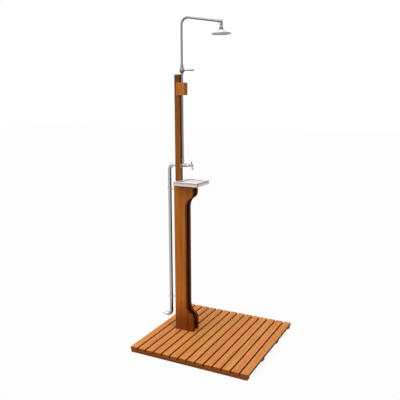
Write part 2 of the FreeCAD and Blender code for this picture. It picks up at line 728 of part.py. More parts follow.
def make_foot_board():
    """Makes the board between the inner bearers that the column's bolts pull against."""
    body = new_body("foot_board")
    half = D.bearer_offset - D.bearer_wide / 2
    base = D.foot_board_room
    thick = D.bearer_thick - base
    outline = rectangle(-half, half, BLOCK_NOSE - D.foot_board_lap, POST_BACK + D.foot_board_lap)
    pad(body, draw(new_sketch(body, "XY", "outline", base), outline), thick)
    drill(body, "XY", "bolt_holes", base, bolt_places(), BOLT_HOLE, thick, True)
    drill(body, "XY", "bolt_sinks", base, bolt_places(), D.bolt_head_radius + D.bolt_sink_room,
          D.bolt_sink_deep, True)


def make_column_bolts():
    """Makes the four hexagon-headed bolts that hold the cheeks down."""
    seat = D.foot_board_room + D.bolt_sink_deep
    bolts = []
    for number, (x, y) in enumerate(bolt_places(), start=1):
        name = "column_bolt_{0}".format(number)
        head = hexagon(name + "_head", D.bolt_head_radius, D.bolt_head_high,
                       (x, y, seat - D.bolt_head_high))
        shank = rod(name + "_shank", D.bolt_radius, SLAT_TOP + D.bolt_bite - seat, (x, y, seat))
        bolts.append(fuse(name, [head, shank]))
    node(group("column_bolts", bolts), "column_bolts")


# ---------------------------------------------------------------------------------------------
# Timber column
# ---------------------------------------------------------------------------------------------
def dowel_heights():
    """Returns the heights of the cross dowels."""
    first = SLAT_TOP + D.dowel_rise
    pitch = (D.cheek_top - D.dowel_drop - first) / (DOWEL_COUNT - 1)
    return [first + pitch * index for index in range(DOWEL_COUNT)]


def foot_peg_heights():
    """Returns the heights of the two pegs in a foot block, clear of the column bolts."""
    first = SLAT_TOP + D.bolt_bite + D.peg_rise
    return [first, first + D.peg_pitch]


def bracket_peg_heights():
    """Returns the heights of the two pegs in a bracket block."""
    first = D.cheek_top - D.peg_drop
    return [first, first - D.peg_pitch]


def make_core_post():
    """Makes the full-height centre post, chamfered on top and bored for the water pipe."""
    body = new_body("core_post")
    outline = rectangle(-POST_HALF, POST_HALF, POST_FRONT, POST_BACK)
    pad(body, draw(new_sketch(body, "XY", "outline", SLAT_TOP), outline),
        D.post_top - SLAT_TOP)
    drill(body, "YZ", "dowel_holes", -POST_HALF, [(POST_MID, z) for z in dowel_heights()],
          D.dowel_radius + D.glue_gap, D.post_side, True)
    drill(body, "XZ", "nipple_bore", -POST_FRONT, [(0, TAP_Z)],
          D.nipple_radius + D.glue_gap, D.post_side, False)
    drill(body, "XZ", "supply_bore", -POST_BACK, [(0, TAP_Z)],
          D.supply_radius + D.glue_gap, D.supply_bite, True)
    soften(body, "Chamfer", D.post_chamfer,
           lambda edge: edge.BoundBox.ZMin > D.post_top.number - TOUCH)


def make_cheek(side, label):
    """Makes one side cheek with its blind holes for dowels, pegs and bolts."""
    body = new_body(label)
    inner = side * POST_HALF
    start = POST_HALF if side > 0 else -COLUMN_HALF
    outline = rectangle(CHEEK_FRONT, POST_BACK, SLAT_TOP, D.cheek_top)
    pad(body, draw(new_sketch(body, "YZ", "outline", start), outline), D.cheek_thick)
    drill(body, "YZ", "dowel_holes", inner, [(POST_MID, z) for z in dowel_heights()],
          D.dowel_radius + D.glue_gap, D.dowel_bite, side > 0)
    pegs = [(side * CHEEK_MID, z) for z in foot_peg_heights() + bracket_peg_heights()]
    drill(body, "XZ", "peg_holes", -CHEEK_FRONT, pegs, D.peg_radius + D.glue_gap,
          D.peg_bite, False)
    bolts = [(x, y) for x, y in bolt_places() if x.number * side > 0]
    drill(body, "XY", "bolt_holes", SLAT_TOP, bolts, BOLT_HOLE, D.bolt_bite, True)
    outer = side * COLUMN_HALF.number
    half_height = (D.cheek_top - SLAT_TOP).number / 2
    soften(body, "Fillet", D.cheek_round,
           lambda edge: is_upright(edge, half_height) and abs(edge.CenterOfMass.x - outer) < TOUCH)


def make_block(label, side, base, plain, upward):
    """Makes an ogee block in front of a cheek: plain upright, bulge, hollow, run-out.

    upward is 1 for a foot, whose curve is above its plain part, and -1 for a bracket.
    """
    body = new_body(label)
    bend = base + upward * plain
    middle = (BLOCK_NOSE + OGEE_REACH * OGEE_SHARE, bend + upward * OGEE_HIGH * OGEE_SHARE)
    finish = bend + upward * OGEE_HIGH
    outline = [(CHEEK_FRONT, base), (BLOCK_NOSE, base), (BLOCK_NOSE, bend), middle,
               (BLOCK_NOSE + OGEE_REACH, finish), (CHEEK_FRONT, finish)]
    arcs = {2: (D.ogee_convex, upward < 0), 3: (D.ogee_hollow, upward > 0)}
    start = POST_HALF if side > 0 else -COLUMN_HALF
    pad(body, draw(new_sketch(body, "YZ", "outline", start), outline, arcs), D.cheek_thick)
    heights = foot_peg_heights() if upward > 0 else bracket_peg_heights()
    drill(body, "XZ", "peg_holes", -CHEEK_FRONT, [(side * CHEEK_MID, z) for z in heights],
          D.peg_radius + D.glue_gap, D.peg_bite, True)
    outer = side * COLUMN_HALF.number
    soften(body, "Fillet", D.block_edge,
           lambda edge: (abs(edge.BoundBox.XMin - outer) < TOUCH
                         and abs(edge.BoundBox.XMax - outer) < TOUCH
                         and edge.BoundBox.YMin < BLOCK_NOSE.number + TOUCH
                         and edge.BoundBox.YMax < BLOCK_NOSE.number + TOUCH))


def make_dowels():
    """Makes the cross dowels and the pegs of the four blocks as one group."""
    pieces = []
    for number, z in enumerate(dowel_heights(), start=1):
        length = D.post_side + 2 * D.dowel_bite
        pieces.append(rod("cross_dowel_{0}".format(number), D.dowel_radius, length,
                          (-length / 2, POST_MID, z), ALONG_X))
    heights = foot_peg_heights() + bracket_peg_heights()
    for side, word in ((-1, "left"), (1, "right")):
        for number, z in enumerate(heights, start=1):
            pieces.append(rod("peg_{0}_{1}".format(word, number), D.peg_radius,
                              2 * D.peg_bite,
                              (side * CHEEK_MID, CHEEK_FRONT + D.peg_bite, z), ALONG_FRONT))
    node(group("dowels", pieces), "dowels")


def make_shelf_board():
    """Makes the board that ties the cheeks and brackets together under the tray."""
    body = new_body("shelf_board")
    half = POST_HALF + D.shelf_room
    outline = [(-COLUMN_HALF, BLOCK_NOSE), (COLUMN_HALF, BLOCK_NOSE),
               (COLUMN_HALF, POST_BACK), (half, POST_BACK), (half, POST_FRONT),
               (-half, POST_FRONT), (-half, POST_BACK), (-COLUMN_HALF, POST_BACK)]
    pad(body, draw(new_sketch(body, "XY", "outline", D.cheek_top), outline), D.shelf_thick)


def make_pipe_block():
    """Makes the wooden block that wraps the post and holds the riser."""
    body = new_body("pipe_block")
    half = POST_HALF + D.glue_gap
    back = POST_FRONT + D.block_wrap
    wide = BLOCK_HALF
    outline = [(-wide, BLOCK_FRONT), (wide, BLOCK_FRONT), (wide, back), (half, back),
               (half, POST_FRONT), (-half, POST_FRONT), (-half, back), (-wide, back)]
    sketch = draw(new_sketch(body, "XY", "outline", BLOCK_BASE), outline)
    draw_circle(sketch, (0, RISER_Y), D.riser_radius + D.glue_gap)
    pad(body, sketch, D.block_high)
    soften(body, "Chamfer", D.block_edge,
           lambda edge: is_upright(edge) and edge.BoundBox.YMax < BLOCK_FRONT.number + TOUCH)


# ---------------------------------------------------------------------------------------------
# Soap tray
# ---------------------------------------------------------------------------------------------
def drain_places():
    """Returns the centres of the dish's drain holes."""
    middle = (DRAIN_COUNT - 1) / 2
    return [(D.drain_pitch * (index - middle), DRAIN_ROW) for index in range(DRAIN_COUNT)]


def make_tray_backing():
    """Makes the timber board that fills the tray's folded skirt."""
    body = new_body("tray_backing")
    wide = TRAY_HALF - 2 * D.tray_sheet
    front = TRAY_FRONT + 2 * D.tray_sheet
    back = TRAY_BACK - 2 * D.tray_sheet
    half = POST_HALF + D.tray_room + D.tray_sheet
    notch = POST_FRONT - D.tray_room - D.tray_sheet
    outline = [(-wide, front), (wide, front), (wide, back), (half + D.tray_sheet, back),
               (half + D.tray_sheet, notch - D.tray_sheet),
               (-half - D.tray_sheet, notch - D.tray_sheet),
               (-half - D.tray_sheet, back), (-wide, back)]
    pad(body, draw(new_sketch(body, "XY", "outline", SHELF_TOP), outline), UNDER_TOP - SHELF_TOP)
    soften(body, "Fillet", D.tray_corner - 2 * D.tray_sheet,
           lambda edge: is_upright(edge) and abs(edge.CenterOfMass.x) > wide.number - TOUCH)
    room = 2 * D.tray_sheet
    dish = rectangle(-DISH_HALF - room, DISH_HALF + room,
                     DISH_FRONT - room, DISH_BACK + room)
    pocket(body, draw(new_sketch(body, "XY", "dish_room", UNDER_TOP), dish),
           D.dish_deep + D.tray_sheet, False)
    drill(body, "XY", "drains", SHELF_TOP, drain_places(), D.drain_radius + D.tray_sheet,
          UNDER_TOP - SHELF_TOP, True)


def make_soap_tray():
    """Makes the pressed steel tray: folded skirt, notch for the post, shallow drained dish."""
    body = new_body("soap_tray")
    half = POST_HALF + D.tray_room
    notch = POST_FRONT - D.tray_room
    wide = TRAY_HALF
    outline = [(-wide, TRAY_FRONT), (wide, TRAY_FRONT), (wide, TRAY_BACK),
               (half, TRAY_BACK), (half, notch), (-half, notch), (-half, TRAY_BACK),
               (-wide, TRAY_BACK)]
    pad(body, draw(new_sketch(body, "XY", "outline", SHELF_TOP), outline), D.tray_high)
    soften(body, "Fillet", D.tray_corner,
           lambda edge: is_upright(edge) and abs(edge.CenterOfMass.x) > wide.number - TOUCH)
    dish = rectangle(-DISH_HALF, DISH_HALF, DISH_FRONT, DISH_BACK)
    pocket(body, draw(new_sketch(body, "XY", "dish", TRAY_TOP), dish), D.dish_deep, False)
    inner = DISH_HALF.number + TOUCH
    soften(body, "Fillet", D.tray_corner,
           lambda edge: (is_upright(edge) and abs(edge.CenterOfMass.x) < inner
                         and edge.CenterOfMass.y < DISH_BACK.number + TOUCH))
    soften(body, "Fillet", D.tray_fold,
           lambda edge: edge.BoundBox.ZMin > TRAY_TOP.number - TOUCH)
    sheet = D.tray_sheet
    inside = [(-wide + sheet, TRAY_FRONT + sheet), (wide - sheet, TRAY_FRONT + sheet),
              (wide - sheet, TRAY_BACK - sheet), (half + sheet, TRAY_BACK - sheet),
              (half + sheet, notch - sheet), (-half - sheet, notch - sheet),
              (-half - sheet, TRAY_BACK - sheet), (-wide + sheet, TRAY_BACK - sheet)]
    below_dish = rectangle(-DISH_HALF - sheet, DISH_HALF + sheet,
                           DISH_FRONT - sheet, DISH_BACK + sheet)
    hollow = draw(new_sketch(body, "XY", "hollow", SHELF_TOP), inside)
    draw(hollow, below_dish)
    pocket(body, hollow, UNDER_TOP - SHELF_TOP, True)
    under_dish = draw(new_sketch(body, "XY", "under_dish", SHELF_TOP), below_dish)
    pocket(body, under_dish, UNDER_TOP - SHELF_TOP - D.dish_deep, True)
    drill(body, "XY", "drains", TRAY_TOP, drain_places(), D.drain_radius,
          D.dish_deep + 2 * D.tray_sheet, False)


# ---------------------------------------------------------------------------------------------
# Water inlet and supply pipe
# ---------------------------------------------------------------------------------------------


def make_inlet_elbow():
    """Makes the swept elbow at the foot of the supply pipe."""
    body = new_body("inlet_elbow")
    top = SUPPLY_BASE + D.inlet_lap
    corner = D.inlet_z + D.inlet_bend
    route = [(SUPPLY_Y, top), (SUPPLY_Y, corner), (SUPPLY_Y + D.inlet_bend, D.inlet_z),
             (INLET_FACE, D.inlet_z)]
    path = draw(new_sketch(body, "YZ", "route"), route, {1: (D.inlet_bend, True)}, closed=False)
    ring = new_sketch(body, "XY", "ring", top)
    draw_circle(ring, (0, SUPPLY_Y), INLET_RADIUS)
    feature = body.newObject("PartDesign::AdditivePipe", "inlet_elbow_sweep")
    feature.Profile = ring
    feature.Spine = path
    drill(body, "XY", "pipe_socket", top, [(0, SUPPLY_Y)], D.supply_radius + D.glue_gap,
          top - SUPPLY_BASE, False)
    drill(body, "XZ", "waterway", -INLET_FACE, [(0, D.inlet_z)], SPIGOT_BORE,
          D.inlet_bore, True)


def make_hose_union():
    """Makes the spigot that a garden hose pushes onto and the nut that holds it."""
    spigot = new_body("hose_spigot")
    length = D.spigot_long
    radius = D.spigot_radius
    collar = D.spigot_collar
    neck = radius - D.spigot_step
    bare = D.hose_nut_long + D.spigot_step
    revolve(spigot, [(SPIGOT_BORE, 0), (COLLAR_RADIUS, 0), (COLLAR_RADIUS, collar),
                     (neck, collar), (neck, bare), (radius, bare),
                     (radius, length - D.spigot_lead), (radius - D.spigot_lead, length),
                     (SPIGOT_BORE, length)])
    place(spigot, 0, INLET_FACE, D.inlet_z, ALONG_BACK)
    nut = hexagon("hose_nut_blank", HOSE_NUT_FLAT / cosine(HEX_HALF_ANGLE), D.hose_nut_long,
                  (0, INLET_FACE, D.inlet_z), ALONG_BACK)
    room = rod("hose_nut_room", COLLAR_RADIUS + D.glue_gap, collar + D.glue_gap,
               (0, INLET_FACE, D.inlet_z), ALONG_BACK)
    bore = rod("hose_nut_bore", radius + D.glue_gap, D.hose_nut_long,
               (0, INLET_FACE, D.inlet_z), ALONG_BACK)
    node(cut("hose_nut", nut, [room, bore]), "hose_nut")


def make_supply_pipe():
    """Makes the pipe up the back of the column, bent forward into the post."""
    body = new_body("supply_pipe")
    corner = TAP_Z - D.supply_bend
    route = [(SUPPLY_Y, SUPPLY_BASE), (SUPPLY_Y, corner),
             (SUPPLY_Y - D.supply_bend, TAP_Z), (POST_BACK - D.supply_bite, TAP_Z)]
    tube(body, route, {1: (D.supply_bend, True)}, "XY", SUPPLY_BASE, (0, SUPPLY_Y),
         D.supply_radius, D.supply_wall)


def make_rear_flange():
    """Makes the rose round the supply pipe where it enters the post."""
    body = new_body("rear_flange")
    inner = D.supply_radius + D.glue_gap
    outer = D.flange_radius
    revolve(body, [(inner, 0), (outer, 0), (outer, D.flange_thick / 2),
                   (inner + D.flange_thick, 2 * D.flange_thick), (inner, 2 * D.flange_thick)])
    place(body, 0, POST_BACK, TAP_Z, ALONG_BACK)


def make_clip(label, height):
    """Makes a pipe clip: wall plate, stem and ring."""
    thick = D.clip_thick
    plate = box(label + "_plate", (-D.clip_wide / 2, POST_BACK, height - D.clip_tall / 2),
                (D.clip_wide, thick, D.clip_tall))
    stem_end = SUPPLY_Y - D.supply_radius
    stem = rod(label + "_stem", D.clip_stem, stem_end - POST_BACK - thick / 2,
               (0, POST_BACK + thick / 2, height), ALONG_BACK)
    ring = rod(label + "_ring", D.supply_radius + D.clip_ring_thick, D.clip_ring_high,
               (0, SUPPLY_Y, height - D.clip_ring_high / 2))
    bore = rod(label + "_bore", D.supply_radius + D.glue_gap, D.clip_ring_high,
               (0, SUPPLY_Y, height - D.clip_ring_high / 2))
    blank = fuse(label + "_blank", [plate, stem, ring])
    node(cut(label, blank, [bore]), label)


# ---------------------------------------------------------------------------------------------
# Tap
# ---------------------------------------------------------------------------------------------


def make_nipple():
    """Makes the threaded nipple that carries the water through the post."""
    start = POST_BACK - D.supply_bite
    length = start - POST_FRONT + D.flange_thick + D.nipple_bite
    outer = rod("nipple_blank", D.nipple_radius, length, (0, start, TAP_Z), ALONG_FRONT)
    bore = rod("nipple_bore", D.nipple_radius - D.nipple_wall, length,
               (0, start, TAP_Z), ALONG_FRONT)
    node(cut("through_nipple", outer, [bore]), "through_nipple")


def make_front_flange():
    """Makes the domed rose between the tap and the post."""
    body = new_body("front_flange")
    inner = D.nipple_radius + D.glue_gap
    outer = D.flange_radius
    thick = D.flange_thick
    revolve(body, [(inner, 0), (outer, 0), (outer, thick / 3), (outer - thick, thick),
                   (inner, thick)])
    place(body, 0, POST_FRONT, TAP_Z, ALONG_FRONT)


def make_tap_body():
    """Makes the tap's barrel with its outlet to the riser."""
    rear = TAP_REAR
    barrel = rod("tap_barrel", TAP_RADIUS, rear - TAP_NOSE, (0, rear, TAP_Z), ALONG_FRONT)
    swell = ball("tap_swelling", SWELL_RADIUS, (0, RISER_Y - D.tap_swell_ahead, TAP_Z))
    behind = box("tap_behind", (-SWELL_RADIUS, rear, TAP_Z - SWELL_RADIUS),
                 (2 * SWELL_RADIUS, SWELL_RADIUS, 2 * SWELL_RADIUS))
    outlet = rod("tap_outlet", OUTLET_RADIUS, D.outlet_high, (0, RISER_Y, TAP_Z))
    shaped = cut("tap_shaped", fuse("tap_blank", [barrel, swell, outlet]), [behind])
    socket = rod("tap_socket", D.nipple_radius + D.glue_gap, D.nipple_bite,
                 (0, rear, TAP_Z), ALONG_FRONT)
    mouth = rod("tap_mouth", D.riser_radius + D.glue_gap, D.riser_bite,
                (0, RISER_Y, TAP_Z + D.outlet_high - D.riser_bite))
    node(cut("tap_body", shaped, [socket, mouth]), "tap_body")


def make_bonnet():
    """Makes the bonnet that the spindle turns in."""
    hexa = hexagon("bonnet_hex", BONNET_CORNER, D.bonnet_hex_long, (0, TAP_NOSE, TAP_Z),
                   ALONG_FRONT)
    neck = rod("bonnet_neck", BONNET_NECK, TAP_NOSE - BONNET_NOSE,
               (0, TAP_NOSE, TAP_Z), ALONG_FRONT)
    bore = rod("bonnet_bore", D.spindle_radius + D.run_room, TAP_NOSE - BONNET_NOSE,
               (0, TAP_NOSE, TAP_Z), ALONG_FRONT)
    node(cut("tap_bonnet", fuse("bonnet_blank", [hexa, neck]), [bore]), "tap_bonnet")


def make_spindle():
    """Makes the spindle, from inside the bonnet to the front of the handle's hub."""
    start = BONNET_NOSE + D.spindle_bite
    node(rod("tap_spindle", D.spindle_radius, start - HANDLE_Y + D.hub_half - D.hub_front,
             (0, start, TAP_Z), ALONG_FRONT), "tap_spindle")


def make_handle():
    """Makes the two-armed handle: hub, arms that swell outwards and rounded ends."""
    body = new_body("tap_handle")
    long = D.handle_half
    knob = D.handle_radius + D.knob_swell
    flat = root(knob * knob - D.handle_radius * D.handle_radius)
    start = long - knob - flat
    outline = [(0, -long), (0, long), (D.handle_radius, start), (D.handle_radius, -start)]
    sketch = new_sketch(body, "XZ", "profile")
    draw(sketch, outline, {1: (knob, False), 3: (knob, False)})
    turn = body.newObject("PartDesign::Revolution", "tap_handle_bar")
    turn.Profile = sketch
    turn.ReferenceAxis = (sketch, ["V_Axis"])
    turn.Angle = 360
    hub = new_sketch(body, "XZ", "hub", -D.hub_half)
    draw_circle(hub, (0, 0), HUB_RADIUS)
    pad(body, hub, 2 * D.hub_half)
    drill(body, "XZ", "bore", -D.hub_half, [(0, 0)], D.spindle_radius,
          2 * D.hub_half - D.hub_front, True)
    place(body, 0, HANDLE_Y, TAP_Z, Rotation(Vector(0, -1, 0), D.handle_turn.number))
    body.setExpression("Placement.Rotation.Angle", D.handle_turn.text + " * 1 deg")


def make_handle_cap():
    """Makes the button that covers the handle's screw."""
    body = new_body("handle_cap")
    dome = D.cap_high - D.cap_edge
    curve = (CAP_RADIUS * CAP_RADIUS + dome * dome) / (2 * dome)
    points = [(0, 0), (CAP_RADIUS, 0), (CAP_RADIUS, D.cap_edge), (0, D.cap_high)]
    revolve(body, points, {2: (curve, True)})
    place(body, 0, HANDLE_Y - D.hub_half, TAP_Z, ALONG_FRONT)


# ---------------------------------------------------------------------------------------------
# Riser and overhead valve
# ---------------------------------------------------------------------------------------------


def make_riser_nut():
    """Makes the nut that clamps the riser into the tap."""
    base = TAP_Z + D.outlet_high
    hexa = hexagon("riser_nut_hex", RISER_NUT_FLAT / cosine(HEX_HALF_ANGLE), D.riser_nut_hex,
                   (0, RISER_Y, base))
    neck = taper("riser_nut_neck", RISER_NUT_FLAT, D.riser_radius + D.riser_nut_lip,
                 D.riser_nut_neck, (0, RISER_Y, base + D.riser_nut_hex))
    bore = rod("riser_nut_bore", D.riser_radius + D.glue_gap, D.riser_nut_hex + D.riser_nut_neck,
               (0, RISER_Y, base))
    node(cut("riser_nut", fuse("riser_nut_blank", [hexa, neck]), [bore]), "riser_nut")


def make_riser():
    """Makes the straight tube from the tap to the overhead valve."""
    base = TAP_Z + D.outlet_high - D.riser_bite
    length = VALVE_Z - VALVE_FOOT + D.pipe_bite - base
    outer = rod("riser_blank", D.riser_radius, length, (0, RISER_Y, base))
    bore = rod("riser_bore", D.riser_radius - D.tube_wall, length, (0, RISER_Y, base))
    node(cut("riser_pipe", outer, [bore]), "riser_pipe")


def make_valve_body():
    """Makes the ball-shaped valve body, slotted in front for the lever's eye and stem."""
    body = new_body("valve_body")
    revolve(body, [(0, -VALVE_FOOT), (FOOT_RADIUS, -VALVE_FOOT), (FOOT_RADIUS, -BALL_LOW),
                   (VALVE_NECK, BALL_HIGH), (VALVE_NECK, VALVE_HEAD), (0, VALVE_HEAD)],
            {2: (D.valve_ball, True)})
    drill(body, "XY", "foot_socket", -VALVE_FOOT, [(0, 0)], D.riser_radius + D.glue_gap,
          D.pipe_bite, True)
    drill(body, "YZ", "eye_room", -SLOT_HALF, [(0, 0)], EYE_RADIUS + D.eye_room,
          2 * SLOT_HALF, True)
    half = D.stem_radius + D.stem_room
    reach = 2 * D.valve_ball
    rise = cosine(D.lever_lift)
    slope = sine(D.lever_lift) / rise
    wedge = [(0, -half), (0, half / rise), (-reach, half / rise + reach * slope),
             (-reach, -half)]
    sketch = draw(new_sketch(body, "YZ", "slot", -SLOT_HALF), wedge)
    pocket(body, sketch, 2 * SLOT_HALF, True)
    drill(body, "YZ", "pin_bore", -PIN_LEFT, [(0, 0)], D.pin_radius + D.glue_gap,
          PIN_LEFT + 2 * D.valve_ball, True)
    place(body, 0, RISER_Y, VALVE_Z)
    node(rod("lever_pin", D.pin_radius, PIN_LEFT + PIN_RIGHT, (-PIN_LEFT, RISER_Y, VALVE_Z),
             ALONG_X), "lever_pin")


def make_lever():
    """Makes the lever: eye on the pin, stem, and a rod that thickens towards its round end."""
    centre = (0, RISER_Y, VALVE_Z)
    eye = rod("lever_eye", EYE_RADIUS, 2 * D.eye_half, (-D.eye_half, RISER_Y, VALVE_Z), ALONG_X)
    hilt = D.valve_ball + D.eye_room + D.skirt_thick
    stem = rod("lever_stem", D.stem_radius, hilt, centre, ALONG_FRONT)
    start = RISER_Y - hilt
    bar = taper("lever_bar", D.lever_thin, D.lever_thick, start - LEVER_TIP - D.lever_thick,
                (0, start, VALVE_Z), ALONG_FRONT)
    tip = ball("lever_end", D.lever_thick, (0, LEVER_TIP + D.lever_thick, VALVE_Z))
    bore = rod("lever_bore", D.pin_radius + D.run_room, 2 * D.eye_half,
               (-D.eye_half, RISER_Y, VALVE_Z), ALONG_X)
    node(cut("valve_lever", fuse("lever_blank", [eye, stem, bar, tip]), [bore]), "valve_lever")


def make_lever_skirt():
    """Makes the thin dome on the lever that covers the slot in the ball."""
    body = new_body("lever_skirt")
    inner = D.valve_ball + D.eye_room
    outer = inner + D.skirt_thick
    hole = D.stem_radius + D.glue_gap
    rise = root(inner * inner - hole * hole)
    crest = root(outer * outer - hole * hole)
    points = [(hole, rise), (inner * sine(D.skirt_angle), inner * cosine(D.skirt_angle)),
              (outer * sine(D.skirt_angle), outer * cosine(D.skirt_angle)), (hole, crest)]
    revolve(body, points, {0: (inner, False), 2: (outer, True)})
    place(body, 0, RISER_Y, VALVE_Z, ALONG_FRONT)


def make_collar():
    """Makes the conical collar that holds the arm's tube on the valve."""
    body = new_body("valve_collar")
    inner = D.riser_radius + D.glue_gap
    base = VALVE_Z + VALVE_HEAD
    high = D.collar_high
    revolve(body, [(inner, 0), (VALVE_NECK, 0), (VALVE_NECK, D.collar_plain),
                   (COLLAR_TIP, high), (inner, high)])
    place(body, 0, RISER_Y, base)


# ---------------------------------------------------------------------------------------------
# Arm and shower head
# ---------------------------------------------------------------------------------------------


def make_arm():
    """Makes the gooseneck tube: upright, bent over, then falling gently to the elbow."""
    body = new_body("shower_arm")
    base = VALVE_Z + VALVE_HEAD
    middle = RISER_Y - D.bend_radius
    turned = (middle - D.bend_radius * sine(D.arm_slope),
              BEND_Z + D.bend_radius * cosine(D.arm_slope))
    finish = (HEAD_Y + D.elbow_stop * cosine(D.arm_slope),
              ARM_END_Z + D.elbow_stop * sine(D.arm_slope))
    route = [(RISER_Y, base), (RISER_Y, BEND_Z), turned, finish]
    tube(body, route, {1: (D.bend_radius, True)}, "XY", base, (0, RISER_Y),
         D.riser_radius, D.tube_wall)


def make_arm_elbow():
    """Makes the elbow at the end of the arm."""
    centre = (0, HEAD_Y, ARM_END_Z)
    tilt = Rotation(Vector(-1, 0, 0), 90 - D.arm_slope.number)
    back = rod("elbow_socket", ELBOW_RADIUS, D.elbow_socket, centre, tilt)
    corner = ball("elbow_corner", ELBOW_RADIUS, centre)
    leg = rod("elbow_leg", ELBOW_RADIUS, ARM_END_Z - ELBOW_BASE,
              (0, HEAD_Y, ELBOW_BASE))
    bore = rod("elbow_bore", D.riser_radius + D.glue_gap, D.elbow_socket,
               (0, HEAD_Y + D.elbow_stop * cosine(D.arm_slope),
                ARM_END_Z + D.elbow_stop * sine(D.arm_slope)), tilt)
    for piece in (back, bore):
        piece.setExpression("Placement.Rotation.Angle",
                            "(90 - {0}) * 1 deg".format(D.arm_slope.text))
    node(cut("arm_elbow", fuse("elbow_blank", [back, corner, leg]), [bore]), "arm_elbow")


def make_ball_stud():
    """Makes the ball on its neck under the elbow."""
    neck = rod("ball_neck", D.neck_radius, ELBOW_BASE - BALL_Z,
               (0, HEAD_Y, BALL_Z))
    sphere = ball("ball_sphere", D.ball_radius, HEAD_CENTRE)
    node(fuse("ball_stud", [sphere, neck]), "ball_stud")


def hang(body):
    """Puts a piece of the head at the ball's centre, tipped up in front."""
    place(body, *HEAD_CENTRE, Rotation(Vector(-1, 0, 0), D.head_tilt.number))
    body.setExpression("Placement.Rotation.Angle", D.head_tilt.text + " * 1 deg")


def make_ball_seat():
    """Makes the ring with two spherical faces between the ball and the swivel nut."""
    body = new_body("ball_seat")
    inner = SEAT_INNER
    outer = SEAT_OUTER
    low = D.seat_low
    mouth = D.neck_radius + D.seat_swing
    high = root(inner * inner - mouth * mouth)
    points = [(root(inner * inner - low * low), low), (root(outer * outer - low * low), low),
              (root(outer * outer - high * high), high), (mouth, high)]
    revolve(body, points, {1: (outer, True), 3: (inner, False)})
    hang(body)


def make_swivel_nut():
    """Makes the nut that clamps the ball and its seat to the head."""
    body = new_body("swivel_nut")
    cave = CAVE_RADIUS
    shoulder = D.plug_top / 2
    points = [(NUT_BORE, -D.swivel_fall), (NUT_RADIUS, -D.swivel_fall),
              (NUT_RADIUS, NUT_RISE - D.swivel_bevel), (NUT_RADIUS - D.swivel_bevel, NUT_RISE),
              (MOUTH_RADIUS + D.swivel_lip / 2, NUT_RISE), (MOUTH_RADIUS, MOUTH_HIGH),
              (root(cave * cave - shoulder * shoulder), -shoulder), (NUT_BORE, -D.plug_top)]
    revolve(body, points, {5: (cave, False)})
    hang(body)


def make_head_shell():
    """Makes the head: screwed plug, flared hub and thin disc, hollow below."""
    body = new_body("head_shell")
    cup = CUP_RADIUS
    cave = CAVE_RADIUS
    top = -D.head_drop + D.head_rim
    recess = -D.head_drop + D.face_thick
    room_top = -D.swivel_fall - D.horn_wall
    points = [(root(cup * cup - D.plug_top * D.plug_top), -D.plug_top), (cave, -D.plug_top),
              (cave, -D.swivel_fall), (D.horn_top, -D.swivel_fall),
              (D.horn_foot, top + D.horn_step), (D.head_radius - D.head_edge, top),
              (D.head_radius, top - D.head_edge), (D.head_radius, -D.head_drop),
              (FACE_RADIUS, -D.head_drop), (FACE_RADIUS, recess + D.head_edge),
              (D.horn_foot - 2 * D.horn_step, top - D.disc_wall), (D.horn_bore, room_top),
              (0, room_top), (0, -cup)]
    arcs = {3: (D.horn_curve, False), 13: (cup, True)}
    revolve(body, points, arcs)
    hang(body)


def make_spray_face():
    """Makes the face plate with its rings of nozzles."""
    body = new_body("spray_face")
    edge = FACE_RADIUS - D.glue_gap
    pitch = (edge - D.face_margin) / RING_COUNT
    base = -D.head_drop
    plate = new_sketch(body, "XY", "plate", base)
    draw_circle(plate, (0, 0), edge)
    pad(body, plate, D.face_thick)
    for ring in range(1, RING_COUNT + 1):
        nozzle = new_sketch(body, "XY", "nozzle_{0}".format(ring), base - D.nozzle_high)
        draw_circle(nozzle, (pitch * ring, 0), D.nozzle_radius)
        single = pad(body, nozzle, D.nozzle_high)
        pattern = body.newObject("PartDesign::PolarPattern", "nozzle_ring_{0}".format(ring))
        pattern.Originals = [single]
        pattern.Axis = (nozzle, ["N_Axis"])
        pattern.Angle = 360
        pattern.Occurrences = FIRST_RING_COUNT * ring
        body.Tip = pattern
    hang(body)


# ---------------------------------------------------------------------------------------------
# Build, check and write
# ---------------------------------------------------------------------------------------------
def make_everything():
    """Makes every piece, from the ground up."""
    make_slats()
    make_bearers()
    make_foot_board()
    make_column_bolts()
    make_core_post()
    for side, word in ((-1, "left"), (1, "right")):
        make_cheek(side, "cheek_" + word)
        make_block("foot_" + word, side, SLAT_TOP, D.foot_rise, 1)
        make_block("bracket_" + word, side, D.cheek_top, D.bracket_drop, -1)
    make_dowels()
    make_shelf_board()
    make_tray_backing()
    make_soap_tray()
    make_pipe_block()
    make_inlet_elbow()
    make_hose_union()
    make_supply_pipe()
    make_rear_flange()
    make_clip("clip_low", SUPPLY_BASE + D.clip_rise)
    make_clip("clip_high", TAP_Z - D.clip_drop)
    make_nipple()
    make_front_flange()
    make_tap_body()
    make_bonnet()
    make_spindle()
    make_handle()
    make_handle_cap()
    make_riser_nut()
    make_riser()
    make_valve_body()
    make_lever()
    make_lever_skirt()
    make_collar()
    make_arm()
    make_arm_elbow()
    make_ball_stud()
    make_ball_seat()
    make_swivel_nut()
    make_head_shell()
    make_spray_face()


def check_model():
    """Stops if an object failed or a piece has no sound shape."""
    for obj in DOC.Objects:
        if {"Invalid", "Error"} & set(obj.State):
            raise RuntimeError("{0} failed: {1}".format(obj.Name, obj.State))
    for piece in NODES:
        if piece.Shape.isNull() or not piece.Shape.isValid() or not piece.Shape.Solids:
            raise RuntimeError(piece.Label + " has no valid solid")


def write_parts():
    """Writes one STEP file for each piece."""
    os.makedirs("parts", exist_ok=True)
    for piece in NODES:
        piece.Shape.exportStep("parts/{0}.step".format(piece.Label))


make_everything()
DOC.recompute()
check_model()
write_parts()
print("pieces:", len(NODES))
